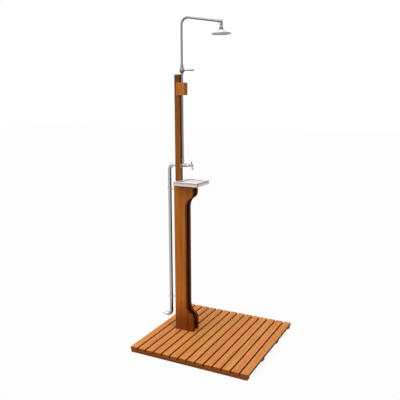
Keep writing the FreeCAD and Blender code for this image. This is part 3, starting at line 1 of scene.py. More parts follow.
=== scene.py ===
"""Outdoor shower post, dressed: oiled hardwood, a satin steel tray and chromed plumbing.

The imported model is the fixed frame. Each class below dresses one sub-assembly of it and adds
the pieces that are too small or too smooth for the solids. Lengths are metres unless a name
says otherwise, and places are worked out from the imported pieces' boxes.
"""
import json
import logging
import math
from dataclasses import dataclass
from enum import Enum
from typing import Any, Mapping, Optional, Sequence, Union

import bpy
from mathutils import Matrix, Vector


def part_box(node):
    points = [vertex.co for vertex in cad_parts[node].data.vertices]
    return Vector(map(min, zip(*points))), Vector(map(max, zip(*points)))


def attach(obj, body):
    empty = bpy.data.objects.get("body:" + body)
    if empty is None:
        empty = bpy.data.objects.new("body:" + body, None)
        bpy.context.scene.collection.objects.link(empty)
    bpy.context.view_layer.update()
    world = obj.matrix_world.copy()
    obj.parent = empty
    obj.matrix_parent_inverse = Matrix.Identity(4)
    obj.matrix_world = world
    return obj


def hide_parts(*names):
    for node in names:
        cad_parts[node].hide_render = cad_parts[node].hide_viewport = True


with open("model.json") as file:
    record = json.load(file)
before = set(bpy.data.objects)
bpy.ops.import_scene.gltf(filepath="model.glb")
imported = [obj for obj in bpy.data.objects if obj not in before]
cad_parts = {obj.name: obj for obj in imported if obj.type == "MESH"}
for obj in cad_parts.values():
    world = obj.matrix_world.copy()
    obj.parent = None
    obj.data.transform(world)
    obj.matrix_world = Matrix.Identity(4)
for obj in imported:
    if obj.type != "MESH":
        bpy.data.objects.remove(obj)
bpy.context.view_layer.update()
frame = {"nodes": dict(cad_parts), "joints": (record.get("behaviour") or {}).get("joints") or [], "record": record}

LOG = logging.getLogger("shower_post")

Material = bpy.types.Material
Node = bpy.types.Node
Piece = bpy.types.Object
Socket = bpy.types.NodeSocket
Feed = Union[float, int, bool, str, tuple, Socket, Material]
Feeds = Mapping[Union[str, int], Feed]
Point = tuple[float, float, float]
Range = tuple[float, float]
Places = Sequence[tuple[Point, Point]]

MILLIMETRE = 0.001
ORIGIN = (0.0, 0.0, 0.0)
BACKWARD = (0.0, 1.0, 0.0)
UPWARD = (0.0, 0.0, 1.0)
DOWNWARD = (0.0, 0.0, -1.0)
WHITE = (1.0, 1.0, 1.0, 1.0)
SMOOTH_BELOW = math.radians(35.0)
# A wave texture of rings repeats each time this length has passed in its scaled space
RING_PERIOD = math.pi / 10.0
SLAT_COUNT = 14
SLATS = ["slat_{0:02d}".format(number + 1) for number in range(SLAT_COUNT)]


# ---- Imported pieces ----
def middle(label: str) -> Vector:
    """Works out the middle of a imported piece's box."""
    low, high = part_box(label)
    return (low + high) / 2


class Rows:
    """Boards of one width laid side by side along Y."""

    def __init__(self, labels: Sequence[str]) -> None:
        """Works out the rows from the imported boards, which are named from front to back."""
        low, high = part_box(labels[0])
        last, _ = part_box(labels[-1])
        self.first, self.wide = low.y, high.y - low.y
        self.pitch = (last.y - low.y) / (len(labels) - 1)


# ---- Node trees ----
def linear(code: str) -> tuple[float, float, float, float]:
    """Turns an sRGB hex colour into linear light.

    Args:
        code: The colour, such as "#C68642".

    Returns:
        Red, green, blue and an alpha of 1.
    """
    channels = [int(code[index:index + 2], 16) / 255.0 for index in (1, 3, 5)]
    lit = [value / 12.92 if value <= 0.04045 else ((value + 0.055) / 1.055) ** 2.4
           for value in channels]
    return (lit[0], lit[1], lit[2], 1.0)


def feed(node: Node, feeds: Feeds) -> None:
    """Feeds the inputs of a node.

    Args:
        node: The node.
        feeds: What goes into each input, by socket name or number: an output or a plain value.
    """
    for key, value in feeds.items():
        if isinstance(value, Socket):
            node.id_data.links.new(value, node.inputs[key])
        else:
            node.inputs[key].default_value = value


def add(tree: bpy.types.NodeTree, kind: str, feeds: Optional[Feeds] = None,
        **settings: Any) -> Node:
    """Adds a node to a tree, sets its properties and feeds its inputs.

    Args:
        tree: The tree that gets the node.
        kind: The node's type, such as "ShaderNodeMath".
        feeds: What goes into each input.
        **settings: The node's own properties, such as operation="ADD".

    Returns:
        The new node.
    """
    node = tree.nodes.new(kind)
    for name, value in settings.items():
        setattr(node, name, value)
    feed(node, feeds or {})
    return node


class Axis(Enum):
    """A direction of the object, named as seen from the front."""

    ACROSS = 0
    DEEP = 1
    UPRIGHT = 2

    @property
    def vector(self) -> Point:
        """The unit vector along the axis."""
        return tuple(float(index == self.value) for index in range(3))

    @property
    def turn_to_x(self) -> Point:
        """The turn that brings the axis to X, for a pattern that is drawn along X."""
        return {Axis.ACROSS: ORIGIN, Axis.DEEP: (0.0, 0.0, -math.pi / 2),
                Axis.UPRIGHT: (0.0, math.pi / 2, 0.0)}[self]


class Painter:
    """Short ways to add the usual nodes to a shader tree."""

    def __init__(self, tree: bpy.types.NodeTree) -> None:
        """Keeps the tree that gets the nodes."""
        self.tree = tree

    def calc(self, operation: str, *values: Feed) -> Socket:
        """Works out one number from up to three others."""
        feeds = dict(enumerate(values))
        return add(self.tree, "ShaderNodeMath", feeds, operation=operation).outputs[0]

    def span(self, value: Socket, start: float, end: float, low: float = 0.0,
             high: float = 1.0) -> Socket:
        """Maps a number so that the start becomes low and the end becomes high."""
        feeds = {"Value": value, "From Min": start, "From Max": end, "To Min": low,
                 "To Max": high}
        return add(self.tree, "ShaderNodeMapRange", feeds).outputs[0]

    def seen(self) -> Socket:
        """Returns 1 for what the eye sees straight or in a gloss, and 0 for light."""
        path = add(self.tree, "ShaderNodeLightPath").outputs
        return self.calc("MAXIMUM", path["Is Camera Ray"], path["Is Glossy Ray"])


@dataclass
class Coat(Painter):
    """A material with one Principled shader, whose colour is laid on tone by tone."""

    name: str

    def __post_init__(self) -> None:
        """Makes the material, and finds its place and its normal on the object."""
        self.material = bpy.data.materials.new(self.name)
        self.material.use_nodes = True
        self.tree = self.material.node_tree
        self.shader = self.tree.nodes["Principled BSDF"]
        place = add(self.tree, "ShaderNodeTexCoord").outputs
        self.spot, self.normal = place["Object"], place["Normal"]
        self.colour: Feed = WHITE

    def vector(self, operation: str, first: Feed, second: Feed) -> Socket:
        """Works out one vector from two others."""
        feeds = {0: first, 1: second}
        return add(self.tree, "ShaderNodeVectorMath", feeds, operation=operation).outputs[0]

    def place(self, axis: Axis) -> Socket:
        """The place along one axis of the object."""
        return add(self.tree, "ShaderNodeSeparateXYZ", {0: self.spot}).outputs[axis.value]

    def facing(self, way: Point) -> Socket:
        """Works out how squarely the face looks one way, from -1 to 1."""
        feeds = {0: self.normal, 1: way}
        return add(self.tree, "ShaderNodeVectorMath", feeds, operation="DOT_PRODUCT").outputs[1]

    def along(self, grain: Axis) -> Socket:
        """Turns the place so that a pattern drawn along X follows the grain."""
        feeds = {"Vector": self.spot, "Rotation": grain.turn_to_x}
        return add(self.tree, "ShaderNodeMapping", feeds).outputs[0]

    def noise(self, vector: Socket, stretch: Point, detail: float = 2.0,
              roughness: float = 0.5) -> Mapping[str, Socket]:
        """Adds noise with that many spots to a metre along each axis."""
        feeds = {"Vector": self.vector("MULTIPLY", vector, stretch), "Scale": 1.0,
                 "Detail": detail, "Roughness": roughness}
        return add(self.tree, "ShaderNodeTexNoise", feeds).outputs

    def cover(self, share: Socket, tone: Union[Socket, str]) -> None:
        """Mixes a tone, an output or an sRGB hex colour, into the colour by its share."""
        top = linear(tone) if isinstance(tone, str) else tone
        feeds = {"Factor": share, 6: self.colour, 7: top}
        self.colour = add(self.tree, "ShaderNodeMix", feeds, data_type="RGBA").outputs[2]

    def shade(self, value: Socket, hue: Feed = 0.5) -> None:
        """Makes the colour brighter or darker, and turns its hue a little."""
        feeds = {"Hue": hue, "Value": value, "Color": self.colour}
        self.colour = add(self.tree, "ShaderNodeHueSaturation", feeds).outputs["Color"]

    def finish(self, **feeds: Feed) -> Material:
        """Feeds the colour and more inputs of the shader, and returns the material."""
        named = {label.replace("_", " "): value for label, value in feeds.items()}
        feed(self.shader, {"Base Color": self.colour, **named})
        return self.material

    def bump(self, height: Socket, strength: float, depth: float) -> Socket:
        """Turns a height into relief and returns the tilted normal."""
        feeds = {"Strength": strength, "Distance": depth, "Height": height}
        return add(self.tree, "ShaderNodeBump", feeds).outputs["Normal"]


# ---- Finishes ----
@dataclass(frozen=True)
class HeightBand:
    """A change of colour from one height to another: darker timber towards the bottom of the feet, and painted
    shade at the top of the post.
    """

    start: float
    full: float
    tone: str
    strength: float


@dataclass
class OiledHardwood(Coat):
    """Planed, oiled tropical hardwood: warm satin with rings, dark streaks and open pores.

    The ranges named facing say from when a face counts as looking one way, and until when it
    counts in part. Shares say how much of a tone is mixed in.
    """

    tones: tuple[str, str, str]
    grain: Axis
    box: tuple[Vector, Vector]
    seed: float = 0.0
    tone_stops: Point = (0.2, 0.5, 0.8)
    ring_mm: float = 9.0
    ring_share: float = 0.22
    ring_shove: Point = (0.0, 0.03, 0.03)
    shove_stretch: Point = (1.6, 9.0, 9.0)
    streak_mm: float = 20.0
    streak_share: float = 0.58
    streak_length: float = 20.0
    fibre_mm: float = 2.2
    fibre_share: float = 0.24
    fibre_length: float = 40.0
    board_jump: Point = (7.0, 0.31, 0.23)
    board_spread: float = 0.0
    hue_spread: float = 0.012
    dim_spread: float = 0.16
    glow_spread: float = 0.10
    rows: Optional[Rows] = None
    # Lighter arrises: partly wear, partly a painted highlight where the rounded edges catch light
    arris_wear_and_highlight: float = 0.3
    arris_light_tone: str = "#E2AC78"
    arris_light_range: Range = (0.0035, 0.0075)
    arris_light_ragged: float = 0.006
    arris_light_stretch: Point = (25.0, 120.0, 120.0)
    end_share: float = 0.5
    end_facing: Range = (0.7, 0.95)
    # Painted shade on faces that don't look up, such as the slats' sides in the gaps between them
    gap_shade: float = 0.0
    gap_shade_tone: str = "#863F0A"
    level_facing: Range = (0.75, 0.985)
    height_bands: Sequence[HeightBand] = ()
    band_stretch: Point = (6.0, 60.0, 60.0)
    # Painted shade in the hollow between the cheeks and on the faces that look to the front
    recess_half: float = 0.0
    recess_shade_share: float = 0.88
    recess_shade_fade: Range = (0.0005, 0.0015)
    recess_shade_tone: str = "#5C1E04"
    front_shade_share: float = 0.7
    front_shade_facing: Range = (-0.4, -0.9)
    # Painted shade on the back faces, which the chrome pipe behind them shows as a dark reflection
    back_shade: float = 0.0
    back_shade_tone: str = "#2A130A"
    back_shade_facing: Range = (0.4, 0.9)
    # Real pores are 0.3 mm wide; they are drawn at 0.8 mm so that a close view shows them
    pore_stretch: Point = (70.0, 1250.0, 1250.0)
    pore_depth: float = 0.0004
    relief: float = 0.35
    figure_relief: float = 0.8
    roughness: float = 0.52
    oil_ior: float = 1.48
    # Oil that has soaked in leaves only a weak gloss
    oil_gloss: float = 0.06

    def build(self) -> Material:
        """Builds the material.

        Returns:
            The material, with its pattern in real millimetres.
        """
        board = add(self.tree, "ShaderNodeAttribute", attribute_name="board")
        chance = add(self.tree, "ShaderNodeTexWhiteNoise", {"W": board.outputs["Fac"]},
                     noise_dimensions="1D").outputs["Color"]
        # Every board comes from another part of the log, so its figure starts elsewhere
        moved = self.vector("ADD", self.along(self.grain),
                            self.vector("MULTIPLY", chance, self.board_jump))
        self.log = self.vector("ADD", moved, (self.seed, self.seed * 0.13, self.seed * 0.07))
        figure = self._figure()
        if self.board_spread > 0.0:
            self._tint(chance)
        self._lighten_arrises()
        self._darken_ends_and_shade_sides()
        for band in self.height_bands:
            self._lay_band(band)
        if self.recess_half > 0.0:
            self._paint_recess_shade()
        # Painted shade on the back faces, so that the pipe behind the column reflects them dark
        if self.back_shade > 0.0:
            self.cover(self.span(self.facing(BACKWARD), *self.back_shade_facing, 0.0, self.back_shade),
                       self.back_shade_tone)
        pores = self.noise(self.log, self.pore_stretch, 1.0)["Fac"]
        height = self.calc("MULTIPLY_ADD", figure, self.figure_relief, pores)
        gloss = self.span(pores, 0.3, 0.7, self.roughness + 0.1, self.roughness - 0.06)
        return self.finish(Normal=self.bump(height, self.relief, self.pore_depth),
                           Roughness=gloss, IOR=self.oil_ior, Specular_IOR_Level=self.oil_gloss)

    def _figure(self) -> Socket:
        """Mixes rings, streaks and fibres, and lays on the wood's three tones.

        Returns:
            The figure, from 0 for dark wood to 1 for light wood.
        """
        shove = self.vector("MULTIPLY", self.noise(self.log, self.shove_stretch)["Color"],
                            self.ring_shove)
        rings = add(self.tree, "ShaderNodeTexWave",
                    {"Vector": self.vector("ADD", self.log, shove), "Distortion": 1.5,
                     "Detail": 2.0, "Scale": RING_PERIOD / (self.ring_mm * MILLIMETRE)},
                    wave_type="RINGS", rings_direction="X")
        broad = 1.0 / (self.streak_mm * MILLIMETRE)
        streaks = self.noise(self.log, (broad / self.streak_length, broad, broad), 3.0, 0.6)
        fine = 1.0 / (self.fibre_mm * MILLIMETRE)
        fibres = self.noise(self.log, (fine / self.fibre_length, fine, fine), 2.0, 0.7)
        total = self.calc("MULTIPLY", rings.outputs["Fac"], self.ring_share)
        total = self.calc("MULTIPLY_ADD", streaks["Fac"], self.streak_share, total)
        total = self.calc("MULTIPLY_ADD", fibres["Fac"], self.fibre_share, total)
        ramp = add(self.tree, "ShaderNodeValToRGB", {"Fac": total})
        elements = ramp.color_ramp.elements
        elements.new(0.5)
        for element, position, tone in zip(elements, self.tone_stops, self.tones):
            element.position = position
            element.color = linear(tone)
        self.colour = ramp.outputs["Color"]
        return total

    def _tint(self, chance: Socket) -> None:
        """Gives each numbered board its own shade, from pinkish to golden.

        Args:
            chance: The board's random colour.
        """
        parts = add(self.tree, "ShaderNodeSeparateColor", {"Color": chance}).outputs
        turn, dim, glow = [self.board_spread * spread for spread in
                           (self.hue_spread, self.dim_spread, self.glow_spread)]
        hue = self.span(parts["Red"], 0.0, 1.0, 0.5 - turn, 0.5 + turn)
        self.shade(self.span(parts["Green"], 0.0, 1.0, 1.0 - dim, 1.0 + glow), hue)

    def _lighten_arrises(self) -> None:
        """Lightens the arrises, where two faces of the board's box meet: partly wear, partly a painted highlight
        where the edges catch light.
        """
        gaps = []
        for axis in Axis:
            low, high = [corner[axis.value] for corner in self.box]
            value, centre, half = self.place(axis), (low + high) / 2, (high - low) / 2
            if axis is Axis.DEEP and self.rows:
                value = self.calc("FLOORED_MODULO",
                                  self.calc("SUBTRACT", value, self.rows.first),
                                  self.rows.pitch)
                centre = half = self.rows.wide / 2
            off = self.calc("ABSOLUTE", self.calc("SUBTRACT", value, centre))
            gaps.append(self.calc("SUBTRACT", half, off))
        total = self.calc("ADD", self.calc("ADD", gaps[0], gaps[1]), gaps[2])
        widest = self.calc("MAXIMUM", self.calc("MAXIMUM", gaps[0], gaps[1]), gaps[2])
        near = self.calc("SUBTRACT", total, widest)
        patches = self.noise(self.log, self.arris_light_stretch)["Fac"]
        ragged = self.calc("MULTIPLY_ADD", patches, self.arris_light_ragged, near)
        self.cover(self.span(ragged, *self.arris_light_range, self.arris_wear_and_highlight, 0.0), self.arris_light_tone)

    def _darken_ends_and_shade_sides(self) -> None:
        """Darkens the sawn ends, and paints shade on every face that doesn't look up, such as the slats' sides in
        the gaps.
        """
        size = self.calc("ABSOLUTE", self.facing(self.grain.vector))
        self.cover(self.span(size, *self.end_facing, 0.0, self.end_share), self.tones[0])
        if self.gap_shade > 0.0:
            self.cover(self.span(self.facing(UPWARD), *self.level_facing, self.gap_shade, 0.0),
                       self.gap_shade_tone)

    def _lay_band(self, band: HeightBand) -> None:
        """Changes the colour from one height to another, with an uneven border.

        Args:
            band: The change.
        """
        reach = abs(band.full - band.start)
        cloud = self.noise(self.log, self.band_stretch)["Fac"]
        border = self.calc("MULTIPLY_ADD", cloud, reach, self.place(Axis.UPRIGHT))
        self.cover(self.span(border, band.start + reach / 2, band.full + reach / 2, 0.0,
                             band.strength), band.tone)

    def _paint_recess_shade(self) -> None:
        """Paints shade in the hollow between the cheeks and on their front faces."""
        off = self.calc("ABSOLUTE", self.place(Axis.ACROSS))
        start, end = [self.recess_half + gap for gap in self.recess_shade_fade]
        inside = self.span(off, start, end, self.recess_shade_share, 0.0)
        front = self.span(self.facing(BACKWARD), *self.front_shade_facing, 0.0, self.front_shade_share)
        self.cover(self.calc("MAXIMUM", inside, front), self.recess_shade_tone)


@dataclass
class Metal(Coat):
    """Plated or solid metal: polished with dried drops on it, or brushed along one way."""

    tone: str
    roughness: float
    grain: Axis = Axis.UPRIGHT
    brush_mm: float = 0.6
    brush_length: float = 100.0
    brush_strength: float = 0.0
    brush_depth: float = 0.0002
    # Dried drops leave dull, slightly pale marks of 5 to 20 mm
    mark_stretch: Point = (70.0, 70.0, 70.0)
    mark_range: Range = (0.35, 0.7)
    mark_rough: float = 0.06
    mark_shades: Range = (0.96, 1.05)
    # A side painted darker: a painted reflection of the dark column on the pipe, and of what lies under the arm
    dark_reflection_side: Optional[Point] = None
    dark_reflection_tone: str = "#3A3634"
    dark_reflection_range: Range = (0.25, 0.45)

    def build(self) -> Material:
        """Builds the material.

        Returns:
            The material, with water marks in its gloss.
        """
        self.marks = self.noise(self.spot, self.mark_stretch, 3.0)["Fac"]
        gloss = self.span(self.marks, *self.mark_range, self.roughness,
                          self.roughness + self.mark_rough)
        self._tone()
        if self.brush_strength > 0.0:
            fine = 1.0 / (self.brush_mm * MILLIMETRE)
            lines = self.noise(self.along(self.grain), (fine / self.brush_length, fine, fine))
            feed(self.shader, {"Normal": self.bump(lines["Fac"], self.brush_strength,
                                                   self.brush_depth)})
        return self.finish(Metallic=1.0, Roughness=gloss)

    def _tone(self) -> None:
        """Varies the tone with the water marks, and paints a dark reflection on the side that faces one way."""
        self.colour = linear(self.tone)
        self.shade(self.span(self.marks, *self.mark_range, *self.mark_shades))
        if self.dark_reflection_side:
            self.cover(self.span(self.facing(self.dark_reflection_side), *self.dark_reflection_range), self.dark_reflection_tone)


@dataclass
class HeadMetal(Metal):
    """Chromed head: a bright polished horn over a disc that weather has dulled."""

    disc_tone: str = "#8C969C"
    disc_top: float = 0.0
    blend_high: float = 0.006

    def _tone(self) -> None:
        """Mixes from the horn's tone down to the disc's tone by height."""
        super()._tone()
        self.cover(self.span(self.place(Axis.UPRIGHT), self.disc_top,
                             self.disc_top + self.blend_high, 1.0, 0.0), self.disc_tone)


@dataclass
class TraySteel(Metal):
    """Satin steel sheet whose upright skirt carries a painted reflection: dark under its fold, warm and
    wood-coloured lower down.
    """

    skirt_reflection_tone: str = "#8F8885"
    foot_reflection_tone: str = "#CDB5A6"
    skirt_reflection_share: float = 0.85
    skirt_middle: float = 0.0
    skirt_fade: float = 0.004
    level_facing: Range = (0.2, 0.7)

    def _tone(self) -> None:
        """Paints a reflection onto the skirt: darkest under the fold, warm towards its foot."""
        # Painted reflection on the skirt: a dark band under the fold over a warm lower half
        self.colour = linear(self.foot_reflection_tone)
        self.cover(self.span(self.place(Axis.UPRIGHT), self.skirt_middle - self.skirt_fade,
                             self.skirt_middle + self.skirt_fade), self.skirt_reflection_tone)
        skirt = self.colour
        super()._tone()
        level = self.calc("ABSOLUTE", self.facing(UPWARD))
        self.cover(self.span(level, *self.level_facing, self.skirt_reflection_share, 0.0), skirt)


@dataclass
class MouldedPolymer(Coat):
    """Moulded plastic or rubber: an even colour with the fine texture of its mould."""

    tone: str
    roughness: float
    texture_mm: float = 0.7
    relief: float = 0.25
    depth: float = 0.0002
    shades: Range = (0.92, 1.06)

    def build(self) -> Material:
        """Builds the material.

        Returns:
            The material, with its texture as bump.
        """
        fine = 1.0 / (self.texture_mm * MILLIMETRE)
        texture = self.noise(self.spot, (fine, fine, fine))["Fac"]
        gloss = self.span(texture, 0.0, 1.0, self.roughness - 0.05, self.roughness + 0.08)
        self.colour = linear(self.tone)
        self.shade(self.span(texture, 0.0, 1.0, *self.shades))
        return self.finish(Normal=self.bump(texture, self.relief, self.depth), Roughness=gloss)


class Finishes:
    """Every finish of the object, each built once."""

    # Cheeks and feet turn darker towards the bottom
    LOW_DARKENING = HeightBand(0.30, 0.11, "#5A2104", 0.7)
    CAP_SHADE = (-0.062, -0.036, "#5E3418", 0.6)
    CHEEK = (Axis.UPRIGHT, ("#8D4916", "#B66622", "#CC803A"))
    # Feet and brackets take darker copies of the cheek's tones: painted shade, under the tray for the brackets and
    # down by the deck for the feet
    FOOT = (Axis.UPRIGHT, ("#7E3C10", "#A4561C", "#BA6E2E"))
    BRACKET = (Axis.UPRIGHT, ("#834112", "#AD5F20", "#C27434"))
    SHADED = ("#5A2C10", "#7C4219", "#935426")
    COLUMN = {"core_post": (Axis.UPRIGHT, ("#6E3812", "#97531D", "#AE6C31")),
              "cheek_left": CHEEK, "cheek_right": CHEEK, "foot_left": FOOT, "foot_right": FOOT,
              "bracket_left": BRACKET, "bracket_right": BRACKET,
              "shelf_board": (Axis.ACROSS, ("#8A4A1E", "#B0682F", "#C98243")),
              "tray_backing": (Axis.ACROSS, SHADED),
              "pipe_block": (Axis.UPRIGHT, ("#A65E1E", "#C67830", "#D8924A")),
              "dowels": (Axis.ACROSS, ("#B98A58", "#CFA46F", "#DDB888"))}
    FIRST_SEED = 3.0
    SEED_STEP = 1.37
    BACK_SHADE = 0.6
    DISC_HIGH = 0.0085
    PIPE_REFLECTION_SIDE = (0.45, -0.89, 0.0)

    def __init__(self) -> None:
        """Builds the finishes."""
        self.slats = OiledHardwood("oiled_slat_hardwood", ("#BC6C2C", "#DB8B48", "#EAA666"),
                                   Axis.ACROSS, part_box(SLATS[0]), seed=1.0, board_spread=0.4,
                                   rows=Rows(SLATS), arris_wear_and_highlight=0.1, gap_shade=0.85).build()
        self.bearers = OiledHardwood("oiled_bearer_hardwood", self.SHADED, Axis.DEEP,
                                     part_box("bearer_1"), seed=2.0, arris_wear_and_highlight=0.2).build()
        self.chrome = Metal("chromed_brass", "#B9B8B8", 0.13).build()
        self.tap_chrome = Metal("worn_tap_chrome", "#93908F", 0.2).build()
        self.arm_chrome = Metal("hazed_arm_chrome", "#827F80", 0.2, dark_reflection_side=DOWNWARD,
                                dark_reflection_tone="#4A4645").build()
        self.pipe_chrome = Metal("chromed_supply_pipe", "#ADACAC", 0.13,
                                 dark_reflection_side=self.PIPE_REFLECTION_SIDE, dark_reflection_range=(0.3, 0.5)).build()
        self.head = HeadMetal("chromed_head", "#E4E7E9", 0.16,
                              disc_top=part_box("head_shell")[0].z + self.DISC_HIGH).build()
        self.tray = TraySteel("satin_stainless_sheet", "#E0DEE6", 0.34, Axis.ACROSS,
                              brush_strength=0.15, mark_rough=0.08,
                              skirt_middle=middle("soap_tray").z).build()
        self.steel = Metal("stainless_screw_steel", "#A9A7A4", 0.3).build()
        self.bronze = Metal("bronzed_screw_steel", "#6E4426", 0.4).build()
        self.brass = Metal("turned_brass", "#C09A56", 0.28).build()
        self.seat = MouldedPolymer("moulded_acetal", "#DCDCD6", 0.42).build()
        self.rubber = MouldedPolymer("silicone_spray_face", "#C2C8CB", 0.45).build()
        self.bore = MouldedPolymer("shaded_nozzle_bore", "#1E2022", 0.7).build()
        self.column = {label: self._timber(label, number)
                       for number, label in enumerate(self.COLUMN)}

    def _timber(self, label: str, number: int) -> Material:
        """Builds the timber of one board of the column.

        Args:
            label: The piece's name.
            number: The board's number, which gives it its own part of the log.

        Returns:
            The board's material.
        """
        grain, tones = self.COLUMN[label]
        _, post_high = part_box("core_post")
        low, full, tone, strength = self.CAP_SHADE
        height_bands = (self.LOW_DARKENING,) if label.startswith(("cheek", "foot")) else ()
        if label == "core_post":
            height_bands = (HeightBand(post_high.z + low, post_high.z + full, tone, strength),)
        hollow = label.startswith(("cheek", "foot", "bracket"))
        back = label.startswith(("core", "cheek"))
        return OiledHardwood("oiled_" + label, tones, grain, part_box(label),
                             seed=self.FIRST_SEED + self.SEED_STEP * number, height_bands=height_bands,
                             recess_half=post_high.x if hollow else 0.0,
                             back_shade=self.BACK_SHADE if back else 0.0).build()


# ---- Geometry Nodes ----
SOCKETS = {float: "NodeSocketFloat", int: "NodeSocketInt", Material: "NodeSocketMaterial"}


class Recipe:
    """A Geometry Nodes tree with named inputs, and the mesh that it grows."""

    def __init__(self, name: str, **inputs: Feed) -> None:
        """Starts a tree.

        Args:
            name: The tree's name.
            **inputs: Each named input and its value for this object.
        """
        self.name = name
        self.tree = bpy.data.node_groups.new(name, "GeometryNodeTree")
        face = self.tree.interface
        for way in ("INPUT", "OUTPUT"):
            face.new_socket("Geometry", in_out=way, socket_type="NodeSocketGeometry")
        self.values: dict[str, Feed] = {}
        for label, value in inputs.items():
            kind = next(text for base, text in SOCKETS.items() if isinstance(value, base))
            item = face.new_socket(label, in_out="INPUT", socket_type=kind)
            self.values[item.identifier] = value
        self.into = self.tree.nodes.new("NodeGroupInput")

    def node(self, kind: str, feeds: Optional[Feeds] = None, **settings: Any) -> Socket:
        """Adds a node to the tree.

        Args:
            kind: The node's type. What comes before "Node" may be left out for geometry.
            feeds: What goes into each input. The name of a tree's input stands for that input.
            **settings: The node's own properties.

        Returns:
            The node's first output.
        """
        full = kind if "Node" in kind else "GeometryNode" + kind
        known = {key: self.into.outputs.get(value, value) if isinstance(value, str) else value
                 for key, value in (feeds or {}).items()}
        return add(self.tree, full, known, **settings).outputs[0]

    def circle(self, radius: Feed, sides: Feed) -> Socket:
        """Adds a circle about Z."""
        return self.node("CurvePrimitiveCircle", {"Resolution": sides, "Radius": radius})

    def step(self, axis: str, value: Feed) -> Socket:
        """Makes a step along one axis, "X", "Y" or "Z"."""
        return self.node("ShaderNodeCombineXYZ", {axis: value})

    def move(self, shape: Socket, step: Feed) -> Socket:
        """Moves a shape by a step."""
        return self.node("Transform", {"Geometry": shape, "Translation": step})

    def round_off(self, curve: Socket, radius: Feed, steps: Feed) -> Socket:
        """Rounds the corners of a curve."""
        return self.node("FilletCurve", {"Curve": curve, "Radius": radius, "Count": steps},
                         mode="POLY")

    def sweep(self, path: Socket, section: Socket, capped: bool = True) -> Socket:
        """Sweeps a closed section along a path."""
        return self.node("CurveToMesh", {"Curve": path, "Profile Curve": section,
                                         "Fill Caps": capped})

    def join(self, *parts: Socket) -> Socket:
        """Joins several geometries into one."""
        whole = add(self.tree, "GeometryNodeJoinGeometry")
        for part in parts:
            self.tree.links.new(part, whole.inputs[0])
        return whole.outputs[0]

    def grow(self, shape: Socket, seed_mesh: bpy.types.Mesh, label: str) -> Piece:
        """Finishes the tree, evaluates it on a mesh and keeps the result as a plain mesh.

        Args:
            shape: The geometry to realize and give its material.
            seed_mesh: The mesh that the tree starts from.
            label: The finished piece's name.

        Returns:
            The finished piece, without a modifier.
        """
        real = self.node("RealizeInstances", {"Geometry": shape})
        painted = self.node("SetMaterial", {"Geometry": real, "Material": "finish"})
        add(self.tree, "NodeGroupOutput", {"Geometry": painted})
        piece = bpy.data.objects.new(label, seed_mesh)
        bpy.context.scene.collection.objects.link(piece)
        modifier = piece.modifiers.new(self.name, "NODES")
        modifier.node_group = self.tree
        for identifier, value in self.values.items():
            modifier[identifier] = value
        depsgraph = bpy.context.evaluated_depsgraph_get()
        mesh = bpy.data.meshes.new_from_object(piece.evaluated_get(depsgraph))
        piece.modifiers.clear()
        piece.data = mesh
        mesh.name = label
        mesh.shade_smooth()
        mesh.set_sharp_from_angle(angle=SMOOTH_BELOW)
        return piece

    def grow_at(self, single: Socket, places: Places, label: str) -> Piece:
        """Grows a copy of one shape at each place, turned to the way that the place faces.

        Args:
            single: The geometry of one shape, whose upper side is +Z.
            places: The point and the facing of each copy.
            label: The finished piece's name.

        Returns:
            The finished piece.
        """
        facing = self.node("InputNamedAttribute", {"Name": "facing"}, data_type="FLOAT_VECTOR")
        turned = self.node("FunctionNodeAlignRotationToVector", {"Vector": facing}, axis="Z")
        spread = self.node("InstanceOnPoints", {"Points": "Geometry", "Instance": single,
                                                "Rotation": turned})
        marks = bpy.data.meshes.new(label)
        marks.from_pydata([point for point, _ in places], [], [])
        attribute = marks.attributes.new("facing", "FLOAT_VECTOR", "POINT")
        for index, (_, way) in enumerate(places):
            attribute.data[index].vector = way
        return self.grow(spread, marks, label)


def route_mesh(label: str, points: Sequence[Point]) -> bpy.types.Mesh:
    """Makes a mesh of straight edges from point to point.

    Args:
        label: The mesh's name.
        points: The corners of the route.

    Returns:
        The mesh.
    """
    mesh = bpy.data.meshes.new(label)
    mesh.from_pydata(points, [(index, index + 1) for index in range(len(points) - 1)], [])
    return mesh


# ---- Pieces that several sub-assemblies share ----
def dress(material: Material, *labels: str) -> None:
    """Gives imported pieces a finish.

    Args:
        material: The finish.
        *labels: The names of the pieces.
    """
    for label in labels:
        materials = frame["nodes"][label].data.materials
        materials.clear()
        materials.append(material)
        LOG.info("dressed %s in %s", label, material.name)


def mount(piece: Piece, body: str) -> None:
    """Makes a new piece ride on a body.

    Args:
        piece: The piece.
        body: The body that carries it.
    """
    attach(piece, body)
    LOG.info("mounted %s on %s, %d faces", piece.name, body, len(piece.data.polygons))


